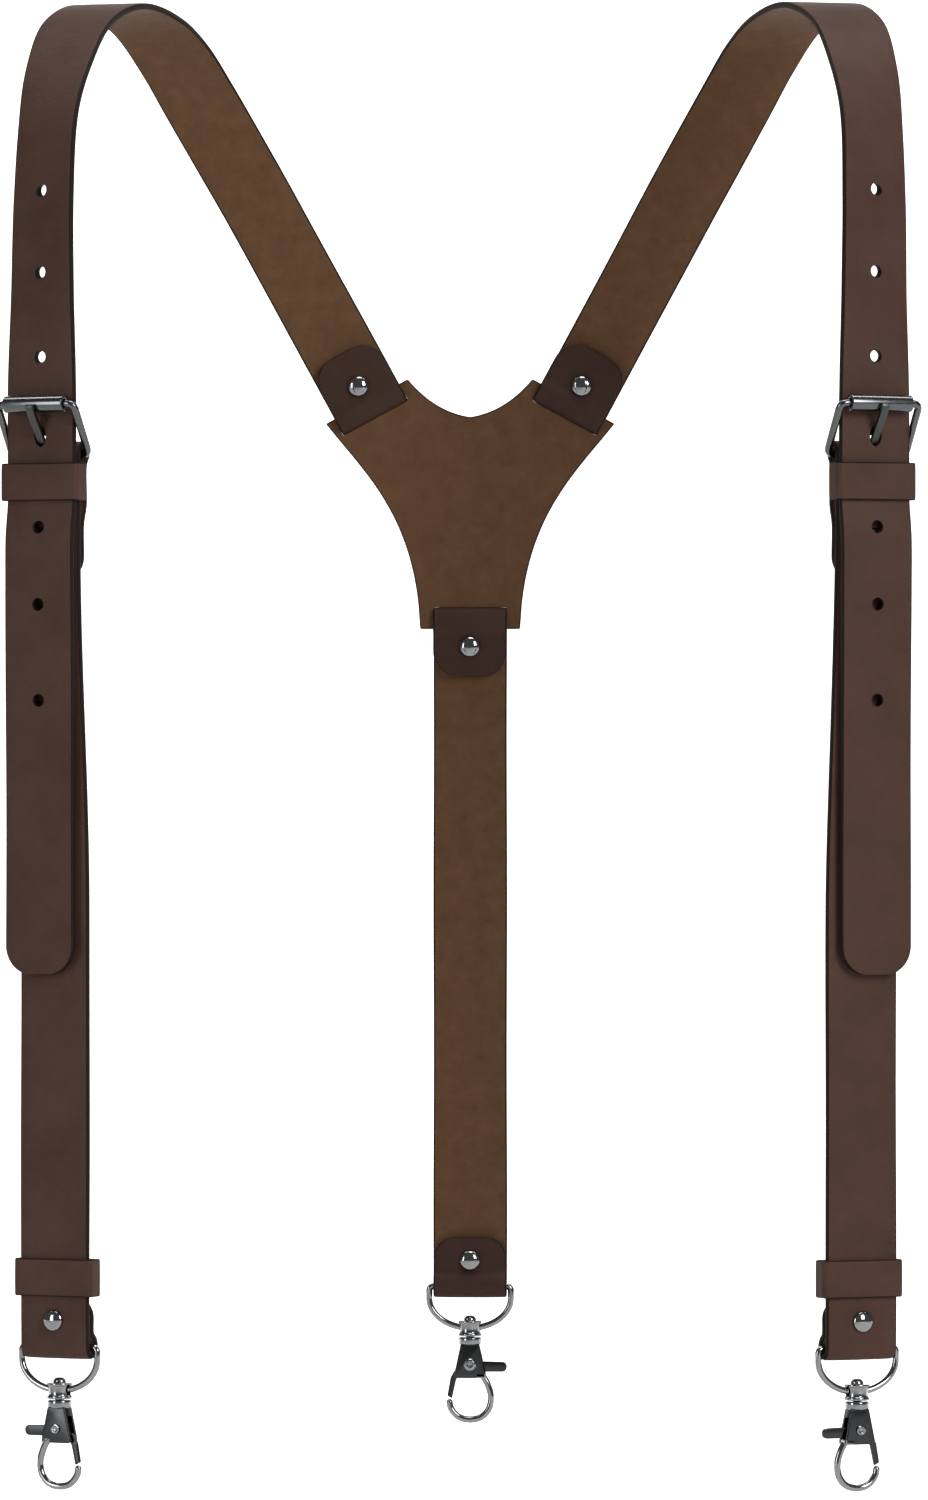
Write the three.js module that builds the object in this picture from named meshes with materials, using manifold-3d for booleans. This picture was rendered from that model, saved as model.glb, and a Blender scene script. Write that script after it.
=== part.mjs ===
// Leather Y-back suspenders with roller buckles, keeper loops, D-rings and swivel snap hooks.
// Millimetres, +Z up, +X to the viewer's right when facing the wearer, +Y toward the wearer's back.
// The origin is midway between the shoulders, at the height where the straps rest on them.

import * as THREE from 'three';
import { mergeVertices } from 'three/addons/utils/BufferGeometryUtils.js';
import Module from 'manifold-3d';

const wasm = await Module();
wasm.setup();
const { Manifold, Mesh: SolidMesh } = wasm;

// ---- driving dimensions ----
const STRAP_WIDTH = 25;
const LEATHER = 2.4;              // thickness of every strap and of the yoke
const GAP = 0.3;                  // clearance between neighbouring pieces
const LAYER_STEP = LEATHER + GAP; // centre to centre of two stacked layers

const BACK_Y = 75;                // middle plane of the yoke
const FRONT_Y = -75;              // middle plane of the hanging front straps
const FRONT_X = 134.8;            // centre of each front strap
const FRONT_YAW = 25;             // degrees that each front strap turns outward

const BUCKLE_BAR_Z = -149.7;
const TAIL_TIP_Z = -318.4;
const FRONT_END_Z = -443;         // lowest point of the front straps
const LOWER_SHIFT = 3.5;          // how far the lower strap drifts toward the centre

const STEM_FOLD_Z = -196.9;       // top of the rear strap's fold in the yoke stem
const REAR_END_Z = -431.6;

const BAR_WIRE = 1.25;            // radius of the buckle frame wire
const BAR_EASE = 0.7;             // air between that wire and the leather folded round it
const BAR_FOLD = BAR_WIRE + BAR_EASE + LEATHER / 2;      // fold radius, centre of leather
const FRAME_CORNER = 2.2;
const FRAME_SIDE_GAP = 0.35;      // strap edge to the frame's side wire
const FRAME_HALF_WIDTH = STRAP_WIDTH / 2 + FRAME_SIDE_GAP + BAR_WIRE;
const ROLLER_RISE = 16.2;
const ROLLER_RADIUS = 2.75;
const ROLLER_CLEAR = 0.5;         // roller to the face of the tail
const ROLLER_END_PLAY = 1;
const ROLLER_LENGTH = 2 * (FRAME_HALF_WIDTH - FRAME_CORNER - ROLLER_END_PLAY);

const RING_WIRE = 1.1;            // radius of the D-ring wire
const RING_EASE = 0.45;           // air between that wire and the leather folded round it
const RING_FOLD = RING_WIRE + RING_EASE + LEATHER / 2;   // fold radius, centre of leather
const RING_SIDE_GAP = 0.3;        // strap edge to the ring's bow
const RING_HALF_WIDTH = STRAP_WIDTH / 2 + RING_SIDE_GAP + RING_WIRE;
const RING_DROP = 14.25;
const RING_CLOSED = 1.7;          // height over the bar, in fold radii, where the tab lies flat
const RING_CORNER = 1.6;
const RING_STRAIGHT = 4;          // straight sides below the bar, before the bow

const HOLE_RADIUS = 1.9;
const HOLE_PITCH = 27.2;
const PRONG_HOLE_RADIUS = 2.3;
const RIVET_HOLE = 1.8;
const RIVET_RADIUS = 3.5;
const RIVET_DOME = 1.9;
const HIDDEN_DOME = 0.9;          // low cap between the lower strap and the tail
const RIVET_EASE = 0.475;         // cap to the bulge of the leather round the D-ring
const RIVET_RISE = (1 + RING_CLOSED) * RING_FOLD + LEATHER / 2 + RIVET_RADIUS + RIVET_EASE;
const RING_TAB_RISE = RIVET_RISE + 7.8;   // strap's lower fold line to the tip of its tab
const KEEPER_WALL = 1.4;
const KEEPER_HEIGHT = 12.2;
const KEEPER_SIDE_GAP = 0.4;
const UPPER_KEEPER_TOP = BUCKLE_BAR_Z - 2.8;
const LOWER_KEEPER_Z = FRONT_END_Z + 26.5;
const YOKE_FOLD = LAYER_STEP;     // fold radius, centre of leather, round the yoke's edge bar

const TAIL_CORNER = 9.5;          // corner radii of the strap ends
const YOKE_TAB_CORNER = 8.5;
const RING_TAB_CORNER = 7;

const v3 = (x, y, z) => new THREE.Vector3(x, y, z);
const rad = THREE.MathUtils.degToRad;

// ---- materials ----
const leatherFace = new THREE.MeshStandardMaterial({ color: 0x4b3831, roughness: 0.5 });
const leatherFlesh = new THREE.MeshStandardMaterial({ color: 0x5e442f, roughness: 0.85 });
const polished = new THREE.MeshStandardMaterial({ color: 0xd8dade, roughness: 0.12, metalness: 1 });
const gunmetal = new THREE.MeshStandardMaterial({ color: 0x8c8f94, roughness: 0.2, metalness: 1 });
const springSteel = new THREE.MeshStandardMaterial({ color: 0x9a9ca0, roughness: 0.35, metalness: 1 });

// ---- solids and booleans ----
function toSolid(geometry) {
  const bare = new THREE.BufferGeometry();
  bare.setAttribute('position', geometry.getAttribute('position').clone());
  if (geometry.index) bare.setIndex(geometry.index.clone());
  const merged = mergeVertices(bare, 1e-4);
  return new Manifold(new SolidMesh({
    numProp: 3,
    vertProperties: new Float32Array(merged.getAttribute('position').array),
    triVerts: new Uint32Array(merged.index.array),
  }));
}

function toGeometry(solid) {
  const mesh = solid.getMesh();
  const geometry = new THREE.BufferGeometry();
  geometry.setAttribute('position', new THREE.BufferAttribute(new Float32Array(mesh.vertProperties), 3));
  geometry.setIndex(new THREE.BufferAttribute(new Uint32Array(mesh.triVerts), 1));
  geometry.computeVertexNormals();
  return geometry;
}

const cut = (solid, tools) => tools.reduce((left, tool) => left.subtract(tool), solid);

function boxSolid(sizeX, sizeY, sizeZ, x, y, z) {
  return toSolid(new THREE.BoxGeometry(sizeX, sizeY, sizeZ).translate(x, y, z));
}

// A round bar of the given radius centred at a point and running along a direction.
function rodSolid(radius, length, centre, direction, sides = 12) {
  const geometry = new THREE.CylinderGeometry(radius, radius, length, sides);
  const turn = new THREE.Quaternion().setFromUnitVectors(v3(0, 1, 0), direction.clone().normalize());
  return toSolid(geometry.applyQuaternion(turn).translate(centre.x, centre.y, centre.z));
}

// Carries a closed section along samples { c, u, v }: each section point (a, b) lies at
// c + a u + b v, and u x v points along the path. A closed path joins its last ring to its first.
function sweep(samples, section, closed = false) {
  const positions = [];
  for (const { c, u, v } of samples) {
    for (const [a, b] of section) {
      positions.push(c.x + a * u.x + b * v.x, c.y + a * u.y + b * v.y, c.z + a * u.z + b * v.z);
    }
  }
  const sides = section.length;
  const rings = closed ? samples.length : samples.length - 1;
  const index = [];
  for (let i = 0; i < rings; i += 1) {
    const here = i * sides;
    const next = ((i + 1) % samples.length) * sides;
    for (let j = 0; j < sides; j += 1) {
      const k = (j + 1) % sides;
      index.push(here + j, here + k, next + k, here + j, next + k, next + j);
    }
  }
  if (!closed) {
    const last = (samples.length - 1) * sides;
    for (let j = 1; j < sides - 1; j += 1) {
      index.push(0, j + 1, j, last, last + j, last + j + 1);
    }
  }
  const geometry = new THREE.BufferGeometry();
  geometry.setAttribute('position', new THREE.Float32BufferAttribute(positions, 3));
  geometry.setIndex(index);
  return geometry;
}

const FLAT_SECTION = [[-1, -1], [1, -1], [1, 1], [-1, 1]];

const roundSection = (sides) => Array.from({ length: sides }, (_, i) => {
  const angle = (2 * Math.PI * (i + 0.5)) / sides;
  return [Math.cos(angle), Math.sin(angle)];
});

// The direction of a chain of points at one of them.
function tangentAt(points, i, closed) {
  const count = points.length;
  const before = closed ? points[(i + count - 1) % count] : points[Math.max(i - 1, 0)];
  const after = closed ? points[(i + 1) % count] : points[Math.min(i + 1, count - 1)];
  return after.clone().sub(before).normalize();
}

// A leather ribbon along stations { p, w, half }: w is the direction across the strap.
function ribbon(stations) {
  const points = stations.map((station) => station.p);
  const samples = stations.map(({ p, w, half = STRAP_WIDTH / 2 }, i) => {
    const along = tangentAt(points, i, false);
    const across = w.clone().addScaledVector(along, -w.dot(along)).normalize();
    const through = along.clone().cross(across);
    return { c: p, u: across.multiplyScalar(half), v: through.multiplyScalar(LEATHER / 2) };
  });
  return toSolid(sweep(samples, FLAT_SECTION));
}

// A wire along points that lie in one plane with the given normal.
function wire(points, planeNormal, radius, sides, closed = false) {
  const samples = points.map((c, i) => {
    const along = tangentAt(points, i, closed);
    const v = planeNormal.clone();
    return { c, u: v.clone().cross(along).multiplyScalar(radius), v: v.multiplyScalar(radius) };
  });
  return sweep(samples, roundSection(sides), closed);
}

// Half widths of a strap end with two rounded corners.
// The first entry is the tip: [distance from the tip, half width].
const roundEnd = (corner) => [0, 0.35, 0.7, 1.05, 1.3, Math.PI / 2].map((angle) => [
  corner * (1 - Math.cos(angle)), STRAP_WIDTH / 2 - corner * (1 - Math.sin(angle))]);

const between = (from, to, share) => from + (to - from) * share;

// ---- rivets: a domed cap with a tube, and a flat base with a post inside that tube ----
// Both run along +Y from the visible face at y = 0; thickness is what they clamp.
function rivetPair(thickness, dome) {
  const cap = [[0, dome], [1.9, 0.84 * dome], [3.1, 0.42 * dome], [RIVET_RADIUS, 0], [1.5, 0],
    [1.5, 0.7 - thickness], [1.0, 0.7 - thickness], [1.0, -0.3], [0, -0.3]];
  const base = -thickness;
  const post = [[0, -1.2], [0.7, -1.2], [0.7, base], [3.3, base], [3.3, base - 0.8], [0, base - 0.8]];
  const turned = (profile) => {
    const points = profile.map(([r, y]) => new THREE.Vector2(r, y)).reverse();
    const geometry = new THREE.LatheGeometry(points, 10);
    return toGeometry(toSolid(geometry.rotateX(Math.PI)));
  };
  return [turned(cap), turned(post)];
}

// ---- scene ----
const suspenders = new THREE.Group();

function addNode(parent, name, shape, material) {
  const geometry = shape.isBufferGeometry ? shape : toGeometry(shape);
  const mesh = new THREE.Mesh(geometry, material);
  mesh.name = name;
  parent.add(mesh);
  return mesh;
}

// Puts a rivet through leather whose front face is at y and whose back face lies thickness behind
// it, looking along -Y of its parent.
function addRivet(parent, name, thickness, x, y, z, dome = RIVET_DOME) {
  const [cap, post] = rivetPair(thickness + 2 * GAP, dome);
  addNode(parent, `${name}_cap`, cap, polished).position.set(x, y - GAP, z);
  addNode(parent, `${name}_post`, post, polished).position.set(x, y - GAP, z);
}

// ---- yoke ----
// Each arm ends square to its shoulder strap, which folds through a slot near that end.
const ARM_LEAN = rad(28.6);
const armFold = v3(-32, 0, -132.8);                          // top of the left fold
const armUp = v3(-Math.sin(ARM_LEAN), 0, Math.cos(ARM_LEAN)); // up the left strap
const armAcross = v3(Math.cos(ARM_LEAN), 0, Math.sin(ARM_LEAN));
const FOLD_REACH = YOKE_FOLD + LEATHER / 2;                  // fold line to fold centre
const ARM_BAR = 2.7;                                         // leather left beyond each arm's slot
const ARM_END = FOLD_REACH + ARM_BAR;                        // fold line to the arm's end
const ARM_TURN = ARM_END + 0.7;                              // where the two layers close together
const ARM_HALF_WIDTH = STRAP_WIDTH / 2 + 3.4;
const ARM_RIVET = ARM_TURN + 5.1;
const ARM_TAB = ARM_RIVET + 12.5;
const STEM_BAR = 3.6;
const STEM_HALF_WIDTH = STRAP_WIDTH / 2 + 4.5;
const STEM_CORNER = 1.5;
const STEM_END_Z = STEM_FOLD_Z - FOLD_REACH - STEM_BAR;
const STEM_TURN_Z = STEM_END_Z - 0.8;
const SLOT_SIDE_GAP = 0.5;
const MAIN_OFFSET = LEATHER / 2 + 2 * GAP;  // yoke's middle plane to a layer at the arm rivet

const armPoint = (rise, across = 0) => armFold.clone()
  .addScaledVector(armUp, rise).addScaledVector(armAcross, across);

function yokeSolid() {
  const outer = armPoint(ARM_END, -ARM_HALF_WIDTH);
  const inner = armPoint(ARM_END, ARM_HALF_WIDTH);
  const flare = armPoint(ARM_END - 19.5, 3.3 - ARM_HALF_WIDTH);
  const waist = v3(STEM_HALF_WIDTH + 4, 0, STEM_FOLD_Z + 32.9);
  const shoulder = v3(STEM_HALF_WIDTH + 0.6, 0, STEM_FOLD_Z + 0.9);
  const notchZ = armFold.z + 0.5;
  const notchPull = v3(0.566 * inner.x, 0, notchZ + 1.8);
  const flat = STEM_HALF_WIDTH - STEM_CORNER;
  const outline = new THREE.Shape();
  outline.moveTo(outer.x, outer.z);
  outline.bezierCurveTo(flare.x, flare.z, -waist.x, waist.z, -shoulder.x, shoulder.z);
  outline.lineTo(-STEM_HALF_WIDTH, STEM_END_Z + STEM_CORNER);
  outline.quadraticCurveTo(-STEM_HALF_WIDTH, STEM_END_Z, -flat, STEM_END_Z);
  outline.lineTo(flat, STEM_END_Z);
  outline.quadraticCurveTo(STEM_HALF_WIDTH, STEM_END_Z, STEM_HALF_WIDTH, STEM_END_Z + STEM_CORNER);
  outline.lineTo(shoulder.x, shoulder.z);
  outline.bezierCurveTo(waist.x, waist.z, -flare.x, flare.z, -outer.x, outer.z);
  outline.lineTo(-inner.x, inner.z);
  outline.quadraticCurveTo(-notchPull.x, notchPull.z, 0, notchZ);
  outline.quadraticCurveTo(notchPull.x, notchPull.z, inner.x, inner.z);
  outline.closePath();
  const plate = new THREE.ExtrudeGeometry(outline, { depth: LEATHER, bevelEnabled: false, curveSegments: 7 });
  plate.rotateX(Math.PI / 2).translate(0, BACK_Y + LEATHER / 2, 0);

  const slotDeep = FOLD_REACH + GAP;
  const slotLong = STRAP_WIDTH + 2 * SLOT_SIDE_GAP;
  const armSlot = (side) => {
    const slot = new THREE.BoxGeometry(slotLong, 3 * LEATHER, slotDeep);
    slot.rotateY(-side * ARM_LEAN);
    const centre = armPoint(FOLD_REACH - slotDeep / 2);
    return toSolid(slot.translate(side * centre.x, BACK_Y, centre.z));
  };
  const stemSlot = boxSolid(slotLong, 3 * LEATHER, slotDeep, 0, BACK_Y,
    STEM_FOLD_Z - FOLD_REACH + slotDeep / 2);
  return cut(toSolid(plate), [armSlot(1), armSlot(-1), stemSlot]);
}

// Half a turn of leather round an axis: angles from 0 to 180 degrees between two layers.
function foldAngles(steps) {
  return Array.from({ length: steps + 1 }, (_, i) => (Math.PI * i) / steps);
}

// ---- shoulder straps: folded tab at the yoke, over the shoulder, down to the free tail ----
const TAB_LIFT = 1.1;     // how far the tip of the tab stands off
const TAB_EASE = 12.5;    // length over which it does so

// The left strap from the yoke over the shoulder: a place and the direction across the strap.
// Along the arm a place is [rise along it, offset from the yoke's middle plane]; after that it is
// [share of the way out, share of the way from back to front, height].
const armRoute = [
  [[22.6, 0.6], [0.878, 0, 0.479]],
  [[53.2, -4.5], [0.878, 0, 0.479]],
  [[83.8, -12], [0.878, 0, 0.479]],
].map(([[rise, offset], w]) => [armPoint(rise).setY(BACK_Y + offset), v3(...w)]);

const overRoute = [
  [[0.126, 0.117, -45.2], [0.885, -0.02, 0.465]],
  [[0.293, 0.177, -26.8], [0.915, -0.09, 0.39]],
  [[0.416, 0.243, -13.6], [0.94, -0.17, 0.29]],
  [[0.55, 0.347, -3.4], [0.96, -0.25, 0.12]],
  [[0.729, 0.5, 1.2], [0.956, -0.292, 0]],
  [[0.872, 0.637, -5.6], [0.93, -0.37, -0.02]],
  [[0.944, 0.75, -19.4], [0.85, -0.52, -0.02]],
  [[0.99, 0.863, -40], [0.755, -0.656, 0]],
  [[1.002, 0.943, -67], [0.79, -0.61, 0]],
  [[1, 0.987, -98], [0.829, -0.559, 0]],
  [[1, 1, BUCKLE_BAR_Z + 27.7], [0.89, -0.456, 0]],
].map(([[out, depth, z], w]) => [
  v3(between(armRoute[2][0].x, -FRONT_X, out), between(BACK_Y, FRONT_Y, depth), z), v3(...w)]);

const yawAcross = (side) => v3(Math.cos(rad(FRONT_YAW)), side * Math.sin(rad(FRONT_YAW)), 0);
const yawBack = (side) => v3(-side * Math.sin(rad(FRONT_YAW)), Math.cos(rad(FRONT_YAW)), 0);

// A point of a front assembly's own frame (x across, y backward, z up) in the shared frame.
function frontPoint(side, x, y, z) {
  return v3(side * FRONT_X, FRONT_Y, z).addScaledVector(yawAcross(side), x)
    .addScaledVector(yawBack(side), y);
}

const BUCKLE_RIVET_Z = UPPER_KEEPER_TOP - KEEPER_HEIGHT - 12.3;
const BUCKLE_TAB_Z = BUCKLE_RIVET_Z - 13;

// Heights and offsets of the tail: it rides over the hidden rivet below the keeper.
const TAIL_LOW_Z = BUCKLE_RIVET_Z - 15;
const TAIL_END_Z = TAIL_TIP_Z + TAIL_CORNER;
const tailRoute = [[BUCKLE_BAR_Z + 15.7, 0], [BUCKLE_BAR_Z + 7.7, 0], [UPPER_KEEPER_TOP + 0.5, 0],
  [UPPER_KEEPER_TOP - KEEPER_HEIGHT - 0.3, 0], [BUCKLE_RIVET_Z + 1, -1.5], [TAIL_LOW_Z, -1.6],
  [between(TAIL_LOW_Z, TAIL_END_Z, 0.24), -1.3], [between(TAIL_LOW_Z, TAIL_END_Z, 0.58), -1], [TAIL_END_Z, -1]];

function shoulderStations() {
  const across = armAcross;
  const tabProfile = [...roundEnd(YOKE_TAB_CORNER), [TAB_EASE, STRAP_WIDTH / 2]];
  const tab = tabProfile.map(([distance, half]) => ({
    p: armPoint(ARM_TAB - distance).setY(BACK_Y - MAIN_OFFSET - TAB_LIFT * (1 - distance / TAB_EASE)),
    w: across,
    half,
  }));
  const tabFoot = { p: armPoint(ARM_TURN + 1.1).setY(BACK_Y - MAIN_OFFSET - 0.1), w: across };
  const tabTurn = { p: armPoint(ARM_TURN - 0.6).setY(BACK_Y - YOKE_FOLD), w: across };
  const fold = foldAngles(8).map((angle) => ({
    p: armPoint(FOLD_REACH - YOKE_FOLD * Math.sin(angle)).setY(BACK_Y - YOKE_FOLD * Math.cos(angle)),
    w: across,
  }));
  const mainTurn = { p: armPoint(ARM_TURN - 0.6).setY(BACK_Y + YOKE_FOLD), w: across };
  const mainFoot = { p: armPoint(ARM_TURN + 1.1).setY(BACK_Y + MAIN_OFFSET + 0.1), w: across };

  const rivetStation = [armPoint(ARM_RIVET).setY(BACK_Y + MAIN_OFFSET), across];
  const route = [rivetStation, ...armRoute, ...overRoute];
  const line = new THREE.CatmullRomCurve3(route.map(([p]) => p), false, 'centripetal');
  const turn = new THREE.CatmullRomCurve3(route.map(([, w]) => w), false, 'centripetal');
  const stepsPerLeg = 3;
  const steps = stepsPerLeg * (route.length - 1);
  const over = Array.from({ length: steps + 1 }, (_, i) => ({
    p: line.getPoint(i / steps), w: turn.getPoint(i / steps) }));

  const hanging = tailRoute.map(([z, y]) => ({ p: frontPoint(-1, 0, y, z), w: yawAcross(-1) }));
  const tip = roundEnd(TAIL_CORNER).slice(0, -1).reverse().map(([distance, half]) => ({
    p: frontPoint(-1, 0, -1, TAIL_TIP_Z + distance), w: yawAcross(-1), half }));
  return [...tab, tabFoot, tabTurn, ...fold, mainTurn, mainFoot, ...over, ...hanging, ...tip];
}

// The right strap mirrors the left one, with its across-direction still toward +X.
function mirrored({ p, w, half }) {
  return { p: v3(-p.x, p.y, p.z), w: v3(w.x, -w.y, -w.z), half };
}

// ---- buckle geometry in the front assembly's frame ----
const LOWER_FRONT_Y = LAYER_STEP;                       // middle of the lower strap's front layer
const BUCKLE_BAR_Y = LOWER_FRONT_Y + BAR_FOLD;
const ROLLER_Y = -LEATHER / 2 - ROLLER_CLEAR - ROLLER_RADIUS;
const buckleBar = v3(0, BUCKLE_BAR_Y, BUCKLE_BAR_Z);
const rollerAxis = v3(0, ROLLER_Y, BUCKLE_BAR_Z + ROLLER_RISE);
const framePlane = rollerAxis.clone().sub(buckleBar);
const FRAME_LENGTH = framePlane.length();

const PRONG_HALF_WIDTH = 1.3;
const PRONG_HALF_THICK = 0.8;
const PRONG_EYE_IN = BAR_WIRE + GAP;
const PRONG_EYE_OUT = PRONG_EYE_IN + 0.85;
const PRONG_EYE_MID = (PRONG_EYE_IN + PRONG_EYE_OUT) / 2;
const PRONG_CLEAR = ROLLER_RADIUS + GAP + PRONG_HALF_THICK;

// The tongue leaves its eye as a tangent and passes in front of the roller.
const frameAngle = Math.atan2(-framePlane.y, framePlane.z);
const prongAngle = frameAngle + Math.asin((PRONG_CLEAR - PRONG_EYE_MID) / FRAME_LENGTH);
const prongAlong = v3(0, -Math.sin(prongAngle), Math.cos(prongAngle));
const prongOut = v3(0, -Math.cos(prongAngle), -Math.sin(prongAngle));
const prongStart = buckleBar.clone().addScaledVector(prongOut, PRONG_EYE_MID);
const prongReach = rollerAxis.clone().sub(prongStart).dot(prongAlong);

function buckleFrameGeometry() {
  const up = framePlane.clone().normalize();
  const side = v3(1, 0, 0);
  const corner = (x, s, from) => foldAngles(4).map((angle) => {
    const turn = from + angle / 2;
    return [x + FRAME_CORNER * Math.cos(turn), s + FRAME_CORNER * Math.sin(turn)];
  });
  const x = FRAME_HALF_WIDTH - FRAME_CORNER;
  const outline = [
    ...corner(x, FRAME_LENGTH - FRAME_CORNER, 0),
    ...corner(-x, FRAME_LENGTH - FRAME_CORNER, Math.PI / 2),
    ...corner(-x, FRAME_CORNER, Math.PI),
    ...corner(x, FRAME_CORNER, 1.5 * Math.PI),
  ];
  const points = outline.map(([a, s]) => buckleBar.clone().addScaledVector(side, a).addScaledVector(up, s));
  return wire(points, side.clone().cross(up), BAR_WIRE, 10, true);
}

function rollerGeometry() {
  const inside = BAR_WIRE + GAP;
  const half = ROLLER_LENGTH / 2;
  const profile = [[inside, -half], [ROLLER_RADIUS, -half], [ROLLER_RADIUS, half], [inside, half],
    [inside, -half]].map(([r, y]) => new THREE.Vector2(r, y));
  const tube = new THREE.LatheGeometry(profile, 16).rotateZ(-Math.PI / 2);
  return toGeometry(toSolid(tube.translate(0, rollerAxis.y, rollerAxis.z)));
}

function prongSolid() {
  const straight = [0, 0.5, 1].map((share) => prongStart.clone()
    .addScaledVector(prongAlong, share * prongReach));
  const hooked = [0.2, 0.4, 0.6].map((angle) => rollerAxis.clone()
    .addScaledVector(prongOut, PRONG_CLEAR * Math.cos(angle))
    .addScaledVector(prongAlong, PRONG_CLEAR * Math.sin(angle)));
  const points = [...straight, ...hooked];
  const samples = points.map((c, i) => {
    const along = tangentAt(points, i, false);
    const u = v3(1, 0, 0);
    const v = along.clone().cross(u);
    return { c, u: u.multiplyScalar(PRONG_HALF_WIDTH), v: v.multiplyScalar(PRONG_HALF_THICK) };
  });
  const tongue = toSolid(sweep(samples, FLAT_SECTION));
  const axis = v3(1, 0, 0);
  const eye = rodSolid(PRONG_EYE_OUT, 2 * PRONG_HALF_WIDTH, buckleBar, axis, 16);
  const bore = rodSolid(PRONG_EYE_IN, 4 * PRONG_HALF_WIDTH, buckleBar, axis, 16);
  return tongue.add(eye).subtract(bore);
}

// ---- lower front strap: folded round the buckle bar above and round the D-ring below ----
const FRONT_RING_Z = FRONT_END_Z + RING_FOLD + LEATHER / 2;
const FRONT_RING_Y = LOWER_FRONT_Y + RING_FOLD;
const FRONT_RIVET_Z = FRONT_END_Z + RIVET_RISE;
const PRONG_SLOT_SIDE = 1.4;      // prong to the edge of its slot

// How the tab comes back to the strap above a D-ring bar: [height over the bar as a share of the
// fold radius, share of the opening still left].
const CLOSED_OFFSET = LAYER_STEP - RING_FOLD;
const ringClosing = [[0.44, 0.96], [1.02, 0.64], [1.4, 0.21], [RING_CLOSED, 0.02]].map(([rise, open]) => [
  rise * RING_FOLD, between(CLOSED_OFFSET, RING_FOLD, open)]);
const BACK_LAYER_Y = LOWER_FRONT_Y + LAYER_STEP;
const BEHIND_KEEPER_Y = BACK_LAYER_Y + KEEPER_WALL + GAP + 0.05;

function lowerStrapSolid() {
  const w = v3(1, 0, 0);
  const station = (x, y, z, half) => ({ p: v3(x, y, z), w, half });
  const upperTab = roundEnd(RING_TAB_CORNER).map(([distance, half]) => station(0, BACK_LAYER_Y,
    BUCKLE_TAB_Z + distance, half));
  const behindKeeper = [[BACK_LAYER_Y, BUCKLE_RIVET_Z + 5], [BEHIND_KEEPER_Y, BUCKLE_RIVET_Z + 11],
    [BEHIND_KEEPER_Y, UPPER_KEEPER_TOP - 0.5]].map(([y, z]) => station(0, y, z));
  const overBar = foldAngles(10).map((angle) => station(0, BUCKLE_BAR_Y + BAR_FOLD * Math.cos(angle),
    BUCKLE_BAR_Z + BAR_FOLD * Math.sin(angle)));
  const drift = [0, 1, 2, 3, 4, 5, 6].map((step) => {
    const z = between(BUCKLE_BAR_Z - 15.3, TAIL_TIP_Z + 8.4, step / 6);
    return station(LOWER_SHIFT * THREE.MathUtils.smoothstep(step, 0.2, 5.8), LOWER_FRONT_Y, z);
  });
  const underRing = foldAngles(8).map((angle) => station(LOWER_SHIFT,
    FRONT_RING_Y - RING_FOLD * Math.cos(angle), FRONT_RING_Z - RING_FOLD * Math.sin(angle)));
  const closing = ringClosing.map(([rise, offset]) => station(LOWER_SHIFT, FRONT_RING_Y + offset,
    FRONT_RING_Z + rise));
  const lowerTab = roundEnd(RING_TAB_CORNER).reverse().map(([distance, half]) => station(LOWER_SHIFT,
    BACK_LAYER_Y, FRONT_END_Z + RING_TAB_RISE - distance, half));
  const strap = ribbon([...upperTab, ...behindKeeper, ...overBar, ...drift, ...underRing,
    ...closing, ...lowerTab]);
  const foldDepth = 2 * BAR_FOLD + LEATHER;
  const prongSlot = boxSolid(2 * (PRONG_HALF_WIDTH + PRONG_SLOT_SIDE), foldDepth + 5, foldDepth + 1.3,
    0, BUCKLE_BAR_Y, BUCKLE_BAR_Z);
  const through = v3(0, 1, 0);
  return cut(strap, [prongSlot,
    rodSolid(RIVET_HOLE, 12, v3(0, BACK_LAYER_Y, BUCKLE_RIVET_Z), through),
    rodSolid(RIVET_HOLE, 12, v3(LOWER_SHIFT, BACK_LAYER_Y, FRONT_RIVET_Z), through)]);
}

// ---- rear strap: folded through the yoke stem above and round the rear D-ring below ----
const REAR_MAIN_Y = BACK_Y + MAIN_OFFSET;
const REAR_RING_Z = REAR_END_Z + RING_FOLD + LEATHER / 2;
const REAR_RING_Y = REAR_MAIN_Y - RING_FOLD;
const REAR_RIVET_Z = REAR_END_Z + RIVET_RISE;
const STEM_RIVET_Z = STEM_FOLD_Z - 13.5;
const STEM_TAB_Z = STEM_FOLD_Z - 23.6;

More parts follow.
